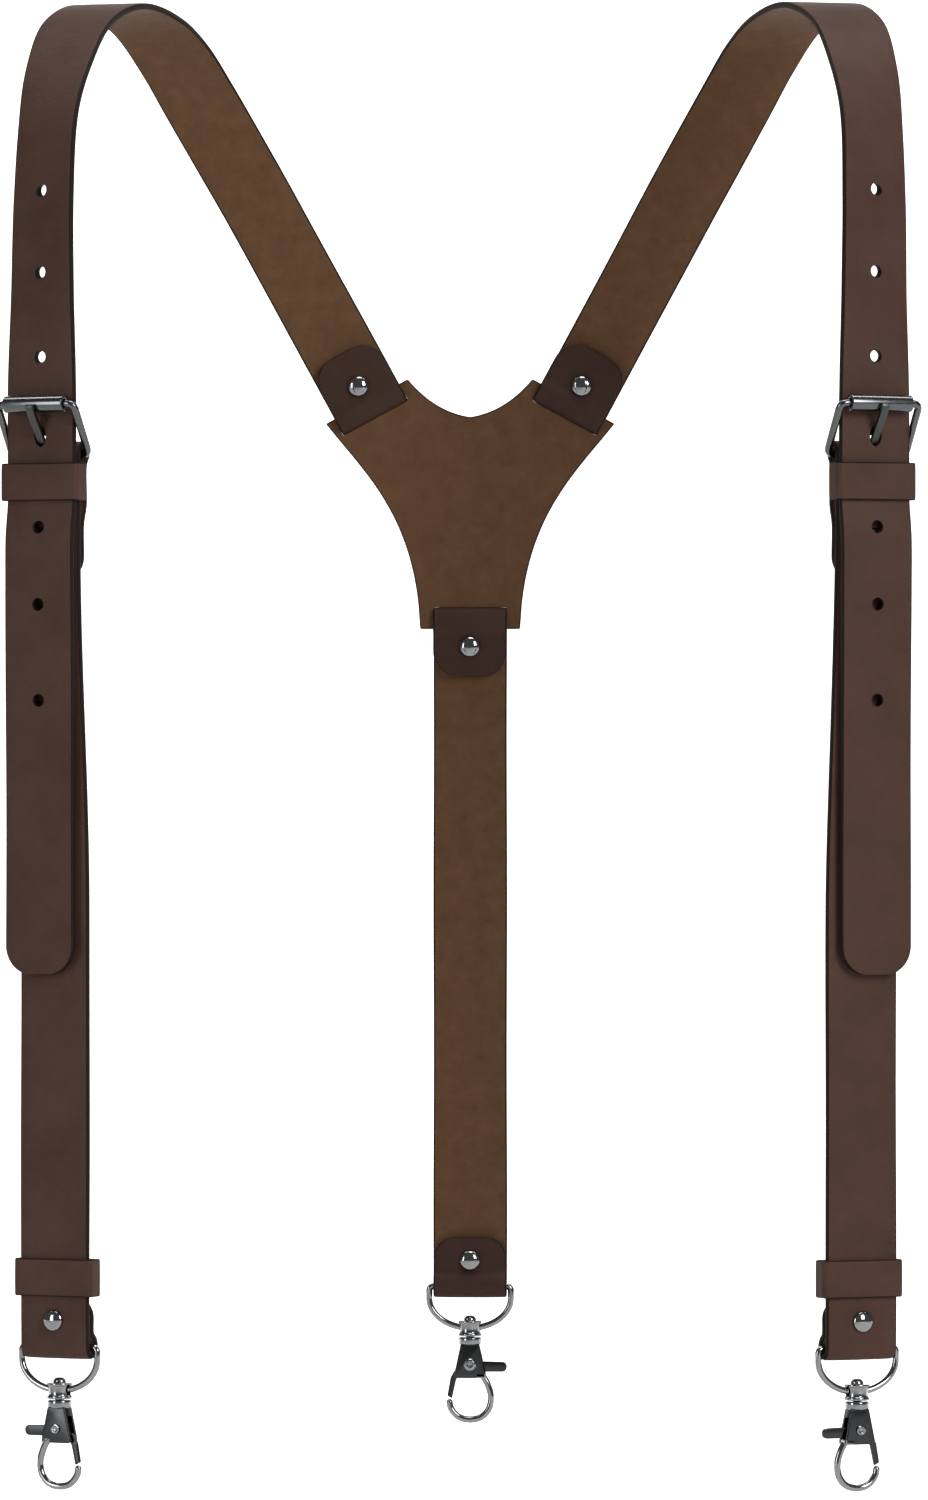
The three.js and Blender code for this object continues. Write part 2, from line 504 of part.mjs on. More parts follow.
function rearStrapSolid() {
  const w = v3(1, 0, 0);
  const station = (y, z, half) => ({ p: v3(0, y, z), w, half });
  const foldZ = STEM_FOLD_Z - FOLD_REACH;
  const upperTab = roundEnd(YOKE_TAB_CORNER).map(([distance, half]) => station(BACK_Y - MAIN_OFFSET,
    STEM_TAB_Z + distance, half));
  const tabTurn = [[BACK_Y - MAIN_OFFSET - 0.1, STEM_TURN_Z - 1.1], [BACK_Y - YOKE_FOLD, STEM_TURN_Z + 0.7]]
    .map(([y, z]) => station(y, z));
  const overBar = foldAngles(8).map((angle) => station(BACK_Y - YOKE_FOLD * Math.cos(angle),
    foldZ + YOKE_FOLD * Math.sin(angle)));
  const mainTurn = [[BACK_Y + YOKE_FOLD, STEM_TURN_Z + 0.7], [REAR_MAIN_Y + 0.1, STEM_TURN_Z - 1.1],
    [REAR_MAIN_Y, STEM_RIVET_Z]].map(([y, z]) => station(y, z));
  const underRing = foldAngles(8).map((angle) => station(REAR_RING_Y + RING_FOLD * Math.cos(angle),
    REAR_RING_Z - RING_FOLD * Math.sin(angle)));
  const closing = ringClosing.map(([rise, offset]) => station(REAR_RING_Y - offset, REAR_RING_Z + rise));
  const lowerTab = roundEnd(RING_TAB_CORNER).reverse().map(([distance, half]) => station(
    REAR_MAIN_Y - LAYER_STEP, REAR_END_Z + RING_TAB_RISE - distance, half));
  const strap = ribbon([...upperTab, ...tabTurn, ...overBar, ...mainTurn, ...underRing, ...closing,
    ...lowerTab]);
  const through = v3(0, 1, 0);
  return cut(strap, [rodSolid(RIVET_HOLE, 12, v3(0, BACK_Y, STEM_RIVET_Z), through),
    rodSolid(RIVET_HOLE, 12, v3(0, BACK_Y, REAR_RIVET_Z), through)]);
}

// ---- keeper loop: a flat band round two layers, centred on its own height ----
const KEEPER_IN_HALF = STRAP_WIDTH / 2 + KEEPER_SIDE_GAP;
const KEEPER_FRONT = -LEATHER / 2 - GAP;                // inside front wall, tail at y = 0
const KEEPER_BACK = LOWER_FRONT_Y + LEATHER / 2 + GAP;  // inside back wall

function keeperGeometry() {
  const rounded = (path, half, front, back, radius) => {
    path.moveTo(-half + radius, front);
    path.lineTo(half - radius, front);
    path.quadraticCurveTo(half, front, half, front + radius);
    path.lineTo(half, back - radius);
    path.quadraticCurveTo(half, back, half - radius, back);
    path.lineTo(-half + radius, back);
    path.quadraticCurveTo(-half, back, -half, back - radius);
    path.lineTo(-half, front + radius);
    path.quadraticCurveTo(-half, front, -half + radius, front);
    return path;
  };
  const outline = rounded(new THREE.Shape(), KEEPER_IN_HALF + KEEPER_WALL,
    KEEPER_FRONT - KEEPER_WALL, KEEPER_BACK + KEEPER_WALL, 1.2);
  outline.holes.push(rounded(new THREE.Path(), KEEPER_IN_HALF, KEEPER_FRONT, KEEPER_BACK, 0.3));
  const band = new THREE.ExtrudeGeometry(outline, {
    depth: KEEPER_HEIGHT, bevelEnabled: false, curveSegments: 3 });
  return toGeometry(toSolid(band.translate(0, 0, -KEEPER_HEIGHT / 2)));
}

// ---- D-ring, hanging from the middle of its straight bar ----
function ringGeometry() {
  const bend = foldAngles(4).map((angle) => angle / 2);
  const right = bend.map((angle) => [RING_HALF_WIDTH - RING_CORNER * (1 - Math.sin(angle)),
    -RING_CORNER * (1 - Math.cos(angle))]);
  const bow = foldAngles(16).map((angle) => [RING_HALF_WIDTH * Math.cos(angle),
    -RING_STRAIGHT - (RING_DROP - RING_STRAIGHT) * Math.sin(angle)]);
  const left = right.map(([x, z]) => [-x, z]).reverse();
  const points = [...right, ...bow, ...left].map(([x, z]) => v3(x, 0, z));
  return wire(points, v3(0, 1, 0), RING_WIRE, 8, true);
}

// ---- swivel snap hook; its frame starts where the D-ring's bow passes through the eye ----
const EYE_RADIUS = 4.15;
const EYE_EASE = 0.65;            // ring wire to the bore of the eye
const STUD_RADIUS = 1.2;
const FOOT_RADIUS = 1.75;         // the stud's foot, which keeps it in the collar
const LEVER_PIVOT_Z = -12.3;
const CHEEK_Y = 2.65;             // half thickness of the hook's body
const LEVER_HALF = 0.8;
const SPRING_WIRE = 0.2;
const SPRING_Y = LEVER_HALF + GAP + SPRING_WIRE;
const SLOT_FRONT = -LEVER_HALF - GAP;   // the lever's slot between the two cheeks
const SLOT_BACK = SPRING_Y + SPRING_WIRE + GAP;
const CLAW_RADIUS = 1.15;
const PIN_RADIUS = 0.9;

const uprightLathe = (profile, sides) => {
  const points = profile.map(([r, z]) => new THREE.Vector2(r, z)).reverse();
  return toSolid(new THREE.LatheGeometry(points, sides).rotateX(Math.PI / 2));
};

function swivelEyeSolid() {
  const profile = [[0, 4.35], [1.4, 4.1], [2.15, 3.2], [2.2, 2.7], [EYE_RADIUS, 2.5], [EYE_RADIUS, -2.7],
    [STUD_RADIUS, -2.7], [STUD_RADIUS, -7.1], [FOOT_RADIUS, -7.1], [FOOT_RADIUS, -8.1], [0, -8.1]];
  const hole = rodSolid(RING_WIRE + EYE_EASE, 12, v3(0, 0, 0.2), v3(1, 0, 0));
  return uprightLathe(profile, 14).subtract(hole);
}

function hookBodySolid() {
  const collar = uprightLathe([[0, -3], [3.6, -3], [4, -3.5], [4, -5.2], [3.4, -5.8], [0, -5.8]], 14);
  const outline = new THREE.Shape();
  outline.moveTo(-3.2, -5.4);
  outline.lineTo(-5.5, -16.2);
  outline.lineTo(-4.7, -17);
  outline.lineTo(5.3, -17);
  outline.lineTo(5.5, -16.2);
  outline.lineTo(3.2, -5.4);
  outline.closePath();
  const plate = toSolid(new THREE.ExtrudeGeometry(outline, { depth: 2 * CHEEK_Y, bevelEnabled: false })
    .rotateX(Math.PI / 2).translate(0, CHEEK_Y, 0));
  const slotMid = (SLOT_FRONT + SLOT_BACK) / 2;
  const slotDepth = SLOT_BACK - SLOT_FRONT;
  const slot = boxSolid(14, slotDepth, 10, 0, slotMid, -13.2);
  const root = boxSolid(3.2, 2 * CHEEK_Y, 1.7, 3.7, 0, -16.15);
  const route = new THREE.CatmullRomCurve3([[4.2, -16], [5.9, -19], [7.05, -23], [6.5, -27.2],
    [3.9, -30.2], [0, -31.15], [-3.9, -30.2], [-6.5, -27.2], [-7.05, -24.6]]
    .map(([x, z]) => v3(x, 0, z)));
  const claw = toSolid(wire(route.getPoints(16), v3(0, 1, 0), CLAW_RADIUS, 8));
  const along = v3(0, 1, 0);
  return cut(collar.add(plate), [slot]).add(root).add(claw)
    .subtract(rodSolid(STUD_RADIUS + GAP, 5, v3(0, 0, -4.5), v3(0, 0, 1)))
    .subtract(rodSolid(FOOT_RADIUS + GAP + 0.05, 1.9, v3(0, 0, -7.7), v3(0, 0, 1)))
    .subtract(rodSolid(PIN_RADIUS + GAP, 12, v3(0, 0, LEVER_PIVOT_Z), along));
}

function gateLeverSolid() {
  const outline = new THREE.Shape();
  outline.moveTo(0.6, -10.2);
  outline.quadraticCurveTo(2, -10.6, 4.5, -11.3);
  outline.lineTo(11, -11.5);
  outline.quadraticCurveTo(12.6, -11.7, 12.5, -13.2);
  outline.quadraticCurveTo(12.5, -14.7, 11, -14.9);
  outline.lineTo(3, -14.9);
  outline.quadraticCurveTo(0, -15.1, -1.6, -14.6);
  outline.quadraticCurveTo(-4, -15.6, -4.8, -18);
  outline.lineTo(-6.1, -24);
  outline.lineTo(-7.75, -23.05);
  outline.lineTo(-6.7, -17);
  outline.quadraticCurveTo(-5, -13.2, -2.2, -12);
  outline.quadraticCurveTo(-1.6, -10.2, 0.6, -10.2);
  outline.closePath();
  const plate = toSolid(new THREE.ExtrudeGeometry(outline, { depth: 2 * LEVER_HALF, bevelEnabled: false,
    curveSegments: 3 }).rotateX(Math.PI / 2).translate(0, LEVER_HALF, 0));
  return plate.subtract(rodSolid(PIN_RADIUS + GAP, 6, v3(0, 0, LEVER_PIVOT_Z), v3(0, 1, 0)));
}

function leverPinSolid() {
  const face = CHEEK_Y + 0.25;
  const profile = [[0, face + 0.75], [1.5, face + 0.6], [2.1, face], [PIN_RADIUS, face],
    [PIN_RADIUS, -face], [1.6, -face], [1.3, -face - 0.5], [0, -face - 0.5]];
  const points = profile.map(([r, y]) => new THREE.Vector2(r, y)).reverse();
  return toSolid(new THREE.LatheGeometry(points, 12).rotateX(Math.PI).translate(0, 0, LEVER_PIVOT_Z));
}

// A flat spiral of spring wire beside the lever, wound round the pin.
function gateSpringSolid() {
  const turns = 1.6;
  const steps = 22;
  const points = Array.from({ length: steps + 1 }, (_, i) => {
    const angle = (2 * Math.PI * turns * i) / steps;
    const radius = 1.45 + (0.62 * angle) / (2 * Math.PI);
    return v3(radius * Math.cos(angle), SPRING_Y, LEVER_PIVOT_Z + radius * Math.sin(angle));
  });
  return toSolid(wire(points, v3(0, 1, 0), SPRING_WIRE, 6));
}

// D-ring, swivel eye, hook, lever, pin and spring at one strap end.
// facing is 1 with the thumb lever toward +X and -1 with it toward -X.
function addHardware(parent, name, x, y, z, facing) {
  const end = new THREE.Group();
  end.position.set(x, y, z);
  parent.add(end);
  addNode(end, `${name}_d_ring`, ringGeometry(), polished);
  const hook = new THREE.Group();
  hook.position.z = -RING_DROP;
  if (facing < 0) hook.rotation.z = Math.PI;
  end.add(hook);
  addNode(hook, `${name}_swivel_eye`, swivelEyeSolid(), polished);
  addNode(hook, `${name}_hook_body`, hookBodySolid(), polished);
  addNode(hook, `${name}_gate_lever`, gateLeverSolid(), polished);
  addNode(hook, `${name}_lever_pin`, leverPinSolid(), polished);
  addNode(hook, `${name}_gate_spring`, gateSpringSolid(), springSteel);
}

// ---- assembly ----
addNode(suspenders, 'yoke', yokeSolid(), leatherFlesh);
addNode(suspenders, 'rear_strap', rearStrapSolid(), leatherFlesh);
addRivet(suspenders, 'yoke_stem_rivet', 2 * MAIN_OFFSET + LEATHER, 0,
  BACK_Y - MAIN_OFFSET - LEATHER / 2, STEM_RIVET_Z);
addRivet(suspenders, 'rear_ring_rivet', LAYER_STEP + LEATHER, 0,
  REAR_MAIN_Y - LAYER_STEP - LEATHER / 2, REAR_RIVET_Z);
addHardware(suspenders, 'rear', 0, REAR_RING_Y, REAR_RING_Z, 1);

const leftStations = shoulderStations();
const through = v3(0, 1, 0);
const prongHit = prongStart.clone().addScaledVector(prongAlong,
  (BUCKLE_BAR_Y + prongOut.y * PRONG_EYE_MID) / -prongAlong.y);
const holeHeights = [3, 2, 1, -1, -2, -3].map((step) => prongHit.z + step * HOLE_PITCH);

for (const [side, name] of [[-1, 'left'], [1, 'right']]) {
  const stations = side < 0 ? leftStations : leftStations.map(mirrored);
  const rivet = armPoint(ARM_RIVET);
  const holes = holeHeights.map((z) => {
    const station = leftStations.filter(({ p }) => p.y < 0)
      .reduce((best, s) => (Math.abs(s.p.z - z) < Math.abs(best.p.z - z) ? s : best));
    const facing = v3(side * station.w.y, station.w.x, 0);
    const centre = v3(side * Math.abs(station.p.x), station.p.y, z);
    return rodSolid(HOLE_RADIUS, 10, centre, facing);
  });
  const prongLine = yawBack(side).multiplyScalar(prongAlong.y).setZ(prongAlong.z);
  const prongHole = rodSolid(PRONG_HOLE_RADIUS, 9, frontPoint(side, 0, prongHit.y, prongHit.z), prongLine);
  const rivetHole = rodSolid(RIVET_HOLE, 14, v3(-side * rivet.x, BACK_Y, rivet.z), through);
  addNode(suspenders, `${name}_shoulder_strap`, cut(ribbon(stations), [...holes, prongHole, rivetHole]),
    leatherFace);
  addRivet(suspenders, `${name}_yoke_rivet`, 2 * MAIN_OFFSET + LEATHER + GAP, -side * rivet.x,
    BACK_Y - MAIN_OFFSET - LEATHER / 2 - GAP, rivet.z);

  const front = new THREE.Group();
  front.position.set(side * FRONT_X, FRONT_Y, 0);
  front.rotation.z = side * rad(FRONT_YAW);
  suspenders.add(front);
  addNode(front, `${name}_buckle_frame`, buckleFrameGeometry(), gunmetal);
  addNode(front, `${name}_buckle_roller`, rollerGeometry(), gunmetal);
  addNode(front, `${name}_buckle_prong`, prongSolid(), gunmetal);
  const lowerSide = side < 0 ? 1 : -1;
  const lower = lowerStrapSolid();
  addNode(front, `${name}_lower_strap`, lowerSide > 0 ? lower : lower.mirror([1, 0, 0]), leatherFace);
  addNode(front, `${name}_upper_keeper`, keeperGeometry(), leatherFace)
    .position.set(0, 0, UPPER_KEEPER_TOP - KEEPER_HEIGHT / 2);
  addNode(front, `${name}_lower_keeper`, keeperGeometry(), leatherFace)
    .position.set(lowerSide * LOWER_SHIFT, LOWER_FRONT_Y, LOWER_KEEPER_Z);
  addRivet(front, `${name}_buckle_rivet`, LAYER_STEP + LEATHER, 0,
    LOWER_FRONT_Y - LEATHER / 2, BUCKLE_RIVET_Z, HIDDEN_DOME);
  addRivet(front, `${name}_ring_rivet`, LAYER_STEP + LEATHER, lowerSide * LOWER_SHIFT,
    LOWER_FRONT_Y - LEATHER / 2, FRONT_RIVET_Z);
  addHardware(front, `${name}_front`, lowerSide * LOWER_SHIFT, FRONT_RING_Y, FRONT_RING_Z, -1);
}

export default suspenders;
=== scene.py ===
import math

import bpy
import numpy as np
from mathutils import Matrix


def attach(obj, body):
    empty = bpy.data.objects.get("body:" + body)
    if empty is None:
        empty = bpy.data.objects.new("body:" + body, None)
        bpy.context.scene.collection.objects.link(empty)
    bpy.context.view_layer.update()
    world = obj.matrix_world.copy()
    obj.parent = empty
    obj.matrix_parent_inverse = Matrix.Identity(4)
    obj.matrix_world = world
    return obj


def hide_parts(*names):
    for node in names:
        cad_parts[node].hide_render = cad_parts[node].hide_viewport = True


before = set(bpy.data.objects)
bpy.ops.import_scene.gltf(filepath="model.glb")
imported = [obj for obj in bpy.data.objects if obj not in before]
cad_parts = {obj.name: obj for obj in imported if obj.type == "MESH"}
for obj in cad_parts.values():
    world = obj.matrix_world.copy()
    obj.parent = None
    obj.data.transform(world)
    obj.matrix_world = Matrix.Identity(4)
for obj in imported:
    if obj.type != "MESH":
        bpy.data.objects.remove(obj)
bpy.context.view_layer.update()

# ---- sizes, as in the frame ----
STRAP_WIDTH = 25.0
LEATHER = 2.4
GAP = 0.3
LAYER_STEP = LEATHER + GAP
EDGE_ROUND = 0.85                  # rounding of the painted strap edges

BACK_Y = 75.0
FRONT_Y = -75.0
FRONT_X = 134.8
FRONT_YAW = math.radians(25)

BUCKLE_BAR_Z = -149.7
TAIL_TIP_Z = -318.4
FRONT_END_Z = -443.0
LOWER_SHIFT = 3.5
STEM_FOLD_Z = -196.9
REAR_END_Z = -431.6

BAR_WIRE = 1.25
BAR_FOLD = BAR_WIRE + 0.7 + LEATHER / 2
FRAME_CORNER = 2.2
FRAME_HALF_WIDTH = STRAP_WIDTH / 2 + 0.35 + BAR_WIRE
ROLLER_RISE = 16.2
ROLLER_RADIUS = 2.75
ROLLER_LENGTH = 2 * (FRAME_HALF_WIDTH - FRAME_CORNER - 1)

RING_WIRE = 1.1
RING_FOLD = RING_WIRE + 0.45 + LEATHER / 2
RING_HALF_WIDTH = STRAP_WIDTH / 2 + 0.3 + RING_WIRE
RING_DROP = 14.25
RING_CORNER = 1.6
RING_STRAIGHT = 4.0
RING_CLOSED = 1.7

HOLE_RADIUS = 1.9
HOLE_PITCH = 27.2
PRONG_HOLE_RADIUS = 2.1
RIVET_HOLE = 1.8
RIVET_RADIUS = 3.5
RIVET_DOME = 1.9
HIDDEN_DOME = 0.9
RIVET_RISE = (1 + RING_CLOSED) * RING_FOLD + LEATHER / 2 + RIVET_RADIUS + 0.475
RING_TAB_RISE = RIVET_RISE + 7.8
KEEPER_WALL = 1.4
KEEPER_HEIGHT = 12.2
KEEPER_IN_HALF = STRAP_WIDTH / 2 + 0.4
UPPER_KEEPER_TOP = BUCKLE_BAR_Z - 2.8
LOWER_KEEPER_Z = FRONT_END_Z + 26.5
YOKE_FOLD = LAYER_STEP
TAIL_CORNER = 9.5
YOKE_TAB_CORNER = 8.5
RING_TAB_CORNER = 7.0

ARM_LEAN = math.radians(28.6)
ARM_FOLD = np.array([-32.0, 0.0, -132.8])
ARM_UP = np.array([-math.sin(ARM_LEAN), 0.0, math.cos(ARM_LEAN)])
ARM_ACROSS = np.array([math.cos(ARM_LEAN), 0.0, math.sin(ARM_LEAN)])
FOLD_REACH = YOKE_FOLD + LEATHER / 2
ARM_END = FOLD_REACH + 2.7
ARM_TURN = ARM_END + 0.7
ARM_HALF_WIDTH = STRAP_WIDTH / 2 + 3.4
ARM_RIVET = ARM_TURN + 5.1
ARM_TAB = ARM_RIVET + 12.5
STEM_HALF_WIDTH = STRAP_WIDTH / 2 + 4.5
STEM_END_Z = STEM_FOLD_Z - FOLD_REACH - 3.6
STEM_TURN_Z = STEM_END_Z - 0.8
STEM_RIVET_Z = STEM_FOLD_Z - 13.5
STEM_TAB_Z = STEM_FOLD_Z - 23.6
MAIN_OFFSET = LEATHER / 2 + 2 * GAP
BUCKLE_RIVET_Z = UPPER_KEEPER_TOP - KEEPER_HEIGHT - 12.3
BUCKLE_TAB_Z = BUCKLE_RIVET_Z - 13

LOWER_FRONT_Y = LAYER_STEP
BACK_LAYER_Y = LOWER_FRONT_Y + LAYER_STEP
BEHIND_KEEPER_Y = BACK_LAYER_Y + KEEPER_WALL + GAP + 0.05
BUCKLE_BAR_Y = LOWER_FRONT_Y + BAR_FOLD
ROLLER_Y = -LEATHER / 2 - 0.5 - ROLLER_RADIUS
FRONT_RING_Y = LOWER_FRONT_Y + RING_FOLD
FRONT_RING_Z = FRONT_END_Z + RING_FOLD + LEATHER / 2
FRONT_RIVET_Z = FRONT_END_Z + RIVET_RISE
REAR_MAIN_Y = BACK_Y + MAIN_OFFSET
REAR_RING_Y = REAR_MAIN_Y - RING_FOLD
REAR_RING_Z = REAR_END_Z + RING_FOLD + LEATHER / 2
REAR_RIVET_Z = REAR_END_Z + RIVET_RISE

X, Y, Z = np.eye(3)


# ---- materials ----
def principled(name, colour, roughness, metallic=0.0):
    """A plain surface with one colour, roughness and metalness; returns it with its shader."""
    material = bpy.data.materials.new(name)
    material.use_nodes = True
    shader = material.node_tree.nodes["Principled BSDF"]
    shader.inputs["Base Color"].default_value = (*colour, 1.0)
    shader.inputs["Roughness"].default_value = roughness
    shader.inputs["Metallic"].default_value = metallic
    return material, shader


def noise(tree, scale, detail, roughness=0.5, stretch=(1, 1, 1)):
    """Cloudy noise in the object's own space, in features per metre, drawn out along an axis."""
    place = tree.nodes.new("ShaderNodeTexCoord")
    turn = tree.nodes.new("ShaderNodeMapping")
    turn.inputs["Scale"].default_value = stretch
    cloud = tree.nodes.new("ShaderNodeTexNoise")
    cloud.inputs["Scale"].default_value = scale
    cloud.inputs["Detail"].default_value = detail
    cloud.inputs["Roughness"].default_value = roughness
    tree.links.new(place.outputs["Object"], turn.inputs["Vector"])
    tree.links.new(turn.outputs["Vector"], cloud.inputs["Vector"])
    return cloud.outputs["Fac"]


def ramp(tree, factor, *stops):
    """A colour for each stop (place, colour) of a factor."""
    node = tree.nodes.new("ShaderNodeValToRGB")
    node.color_ramp.elements[0].position, node.color_ramp.elements[1].position = stops[0][0], stops[-1][0]
    for place, _ in stops[1:-1]:
        node.color_ramp.elements.new(place)
    for element, (_, colour) in zip(node.color_ramp.elements, stops):
        element.color = (*colour, 1.0)
    tree.links.new(factor, node.inputs["Fac"])
    return node.outputs["Color"]


def bump(tree, shader, height, strength, depth):
    node = tree.nodes.new("ShaderNodeBump")
    node.inputs["Strength"].default_value = strength
    node.inputs["Distance"].default_value = depth
    tree.links.new(height, node.inputs["Height"])
    tree.links.new(node.outputs["Normal"], shader.inputs["Normal"])


def leather_face_material(name, depth):
    """Grain side: dark brown with soft tone clouds, a fine pebbled grain and a satin finish; depth
    scales how light it is."""
    material, shader = principled(name, (0.066, 0.034, 0.025), 0.52)
    tones = [(at, tuple(depth * np.array(c))) for at, c in (
        (0.28, (0.055, 0.0275, 0.020)), (0.5, (0.066, 0.034, 0.025)), (0.74, (0.077, 0.041, 0.031)))]
    tree = material.node_tree
    tone = noise(tree, 38, 4, 0.6)
    colour = ramp(tree, tone, *tones)
    tree.links.new(colour, shader.inputs["Base Color"])
    cells = tree.nodes.new("ShaderNodeTexVoronoi")
    cells.inputs["Scale"].default_value = 1150
    cells.inputs["Randomness"].default_value = 0.9
    place = tree.nodes.new("ShaderNodeTexCoord")
    tree.links.new(place.outputs["Object"], cells.inputs["Vector"])
    fine = noise(tree, 600, 5, 0.6)
    both = tree.nodes.new("ShaderNodeMath")
    both.operation = "MULTIPLY_ADD"
    both.inputs[1].default_value = 0.55
    tree.links.new(cells.outputs["Distance"], both.inputs[0])
    tree.links.new(fine, both.inputs[2])
    bump(tree, shader, both.outputs[0], 0.32, 0.00028)
    shader.inputs["Specular IOR Level"].default_value = 0.13
    return material


def leather_flesh_material():
    """Flesh side: warmer brown, mottled, matte and fibrous like suede."""
    material, shader = principled("leather_flesh_side", (0.11, 0.058, 0.029), 0.92)
    tree = material.node_tree
    mottle = noise(tree, 170, 7, 0.7)
    colour = ramp(tree, mottle, (0.3, (0.110, 0.053, 0.025)),
                  (0.52, (0.132, 0.065, 0.031)), (0.72, (0.154, 0.078, 0.039)))
    tree.links.new(colour, shader.inputs["Base Color"])
    bump(tree, shader, noise(tree, 1500, 6, 0.75), 0.55, 0.0003)
    shader.inputs["Sheen Weight"].default_value = 0.12
    shader.inputs["Specular IOR Level"].default_value = 0.2
    return material


def edge_material(name, colour):
    """A burnished cut edge."""
    material, shader = principled(name, colour, 0.6)
    shader.inputs["Specular IOR Level"].default_value = 0.15
    bump(material.node_tree, shader, noise(material.node_tree, 700, 3), 0.2, 0.0002)
    return material


def metal_material(name, colour, roughness, wear):
    """Plated metal with faint uneven polish."""
    material, shader = principled(name, colour, roughness, 1.0)
    tree = material.node_tree
    spread = tree.nodes.new("ShaderNodeMapRange")
    spread.inputs["To Min"].default_value = max(roughness - wear, 0.02)
    spread.inputs["To Max"].default_value = roughness + wear
    tree.links.new(noise(tree, 420, 4), spread.inputs["Value"])
    tree.links.new(spread.outputs["Result"], shader.inputs["Roughness"])
    return material


FACE = leather_face_material("leather_face", 1.24)
# The tab face is the same grain leather with its colour made darker (depth 0.8 against 1.24): painted shade
# for the tabs at the back, which face into the harness.
SHADED_FACE = leather_face_material("leather_face_painted_shade", 0.8)
FLESH = leather_flesh_material()
PAINT = edge_material("leather_edge_paint", (0.014, 0.008, 0.006))
RAW_EDGE = edge_material("leather_edge_brown", (0.045, 0.024, 0.014))
# The nickel's colour is set far darker than bare polished nickel: painted shade, standing in for the dark
# surroundings it reflects.
NICKEL = metal_material("polished_nickel", (0.38, 0.385, 0.395), 0.08, 0.03)
# A still darker copy of the same nickel for the hook's flat cheeks and gate lever: a painted dark reflection,
# in place of the bright floor that their flat faces mirror.
SHADED_NICKEL = metal_material("nickel_painted_dark_reflection", (0.07, 0.072, 0.075), 0.2, 0.04)
# The buckle metal is a darker finish than the nickel, and it is set darker still as painted shade, standing
# in for the dark surroundings that it reflects.
GUNMETAL = metal_material("buckle_plate", (0.17, 0.175, 0.18), 0.2, 0.05)
DARK_STEEL = metal_material("prong_plate", (0.10, 0.103, 0.103), 0.36, 0.05)
SPRING = metal_material("spring_steel", (0.5, 0.5, 0.52), 0.3, 0.05)
LEATHERS = [FACE, FLESH, PAINT, SHADED_FACE]
FACE_NO, FLESH_NO, PAINT_NO, SHADED_FACE_NO = 0, 1, 2, 3


# ---- building meshes from grids ----
def ring_shell(rings, number=0, wrap=False):
    """Closed rings of points rings[M, N, 3] joined in order into a skin; the first and last rings are
    filled in, or joined to each other where the path wraps. number is the material of each quad,
    one value, one for each side [N] or one for each quad [M - 1, N]."""
    count, sides = rings.shape[:2]
    i = np.arange(count if wrap else count - 1)[:, None] * sides
    after = (np.arange(len(i))[:, None] + 1) % count * sides
    j = np.arange(sides)[None, :]
    k = (j + 1) % sides
    quads = np.stack([i + j, i + k, after + k, after + j], -1).reshape(-1, 4)
    numbers = np.broadcast_to(number, (len(i), sides)).reshape(-1)
    first, last = np.arange(sides)[::-1], (count - 1) * sides + np.arange(sides)
    caps = [] if wrap else [(first, numbers[0]), (last, numbers[-1])]
    return rings.reshape(-1, 3), quads, numbers, caps


def capped(shell, first, last):
    """The same skin with other materials on its two end faces."""
    points, quads, numbers, caps = shell
    return points, quads, numbers, [(caps[0][0], first), (caps[1][0], last)]


def outward(shell):
    """The skin with its faces turned so that the volume they enclose is positive."""
    points, quads, numbers, caps = shell
    a, b, c, d = (points[quads[:, n]] for n in range(4))
    volume = np.einsum("ij,ij->", a, np.cross(b, c)) + np.einsum("ij,ij->", a, np.cross(c, d))
    for ring, _ in caps:
        p = points[ring]
        volume += np.einsum("ij,ij->", np.broadcast_to(p[:1], p[1:-1].shape), np.cross(p[1:-1], p[2:]))
    if volume < 0:
        quads = quads[:, ::-1]
        caps = [(ring[::-1], number) for ring, number in caps]
    return points, quads, numbers, caps


def piece(name, shells, materials, place=None, sharp=38):
    """One object made of closed skins, carried from millimetres in its own axes to metres in the frame."""
    points, loops, starts, numbers = [], [], [], []
    base = corner = 0
    for shell in map(outward, shells):
        skin, quads, quad_numbers, caps = shell
        points.append(skin if place is None else place(skin))
        loops.append((quads + base).reshape(-1))
        starts.append(corner + 4 * np.arange(len(quads)))
        numbers.append(quad_numbers)
        corner += 4 * len(quads)
        for ring, number in caps:
            loops.append(ring + base)
            starts.append([corner])
            numbers.append([number])
            corner += len(ring)
        base += len(skin)
    points, loops = np.concatenate(points) * 0.001, np.concatenate(loops)
    starts, numbers = np.concatenate(starts), np.concatenate(numbers)
    mesh = bpy.data.meshes.new(name)
    mesh.vertices.add(len(points))
    mesh.vertices.foreach_set("co", points.astype(np.float32).reshape(-1))
    mesh.loops.add(len(loops))
    mesh.loops.foreach_set("vertex_index", loops.astype(np.int32))
    mesh.polygons.add(len(starts))
    mesh.polygons.foreach_set("loop_start", starts.astype(np.int32))
    mesh.polygons.foreach_set("material_index", numbers.astype(np.int32))
    for material in materials:
        mesh.materials.append(material)
    mesh.update(calc_edges=True)
    mesh.validate()
    finish_shading(mesh, sharp)
    thing = bpy.data.objects.new(name, mesh)
    bpy.context.scene.collection.objects.link(thing)
    return thing


def finish_shading(mesh, sharp):
    mesh.polygons.foreach_set("use_smooth", np.ones(len(mesh.polygons), bool))
    mesh.set_sharp_from_angle(angle=math.radians(sharp))


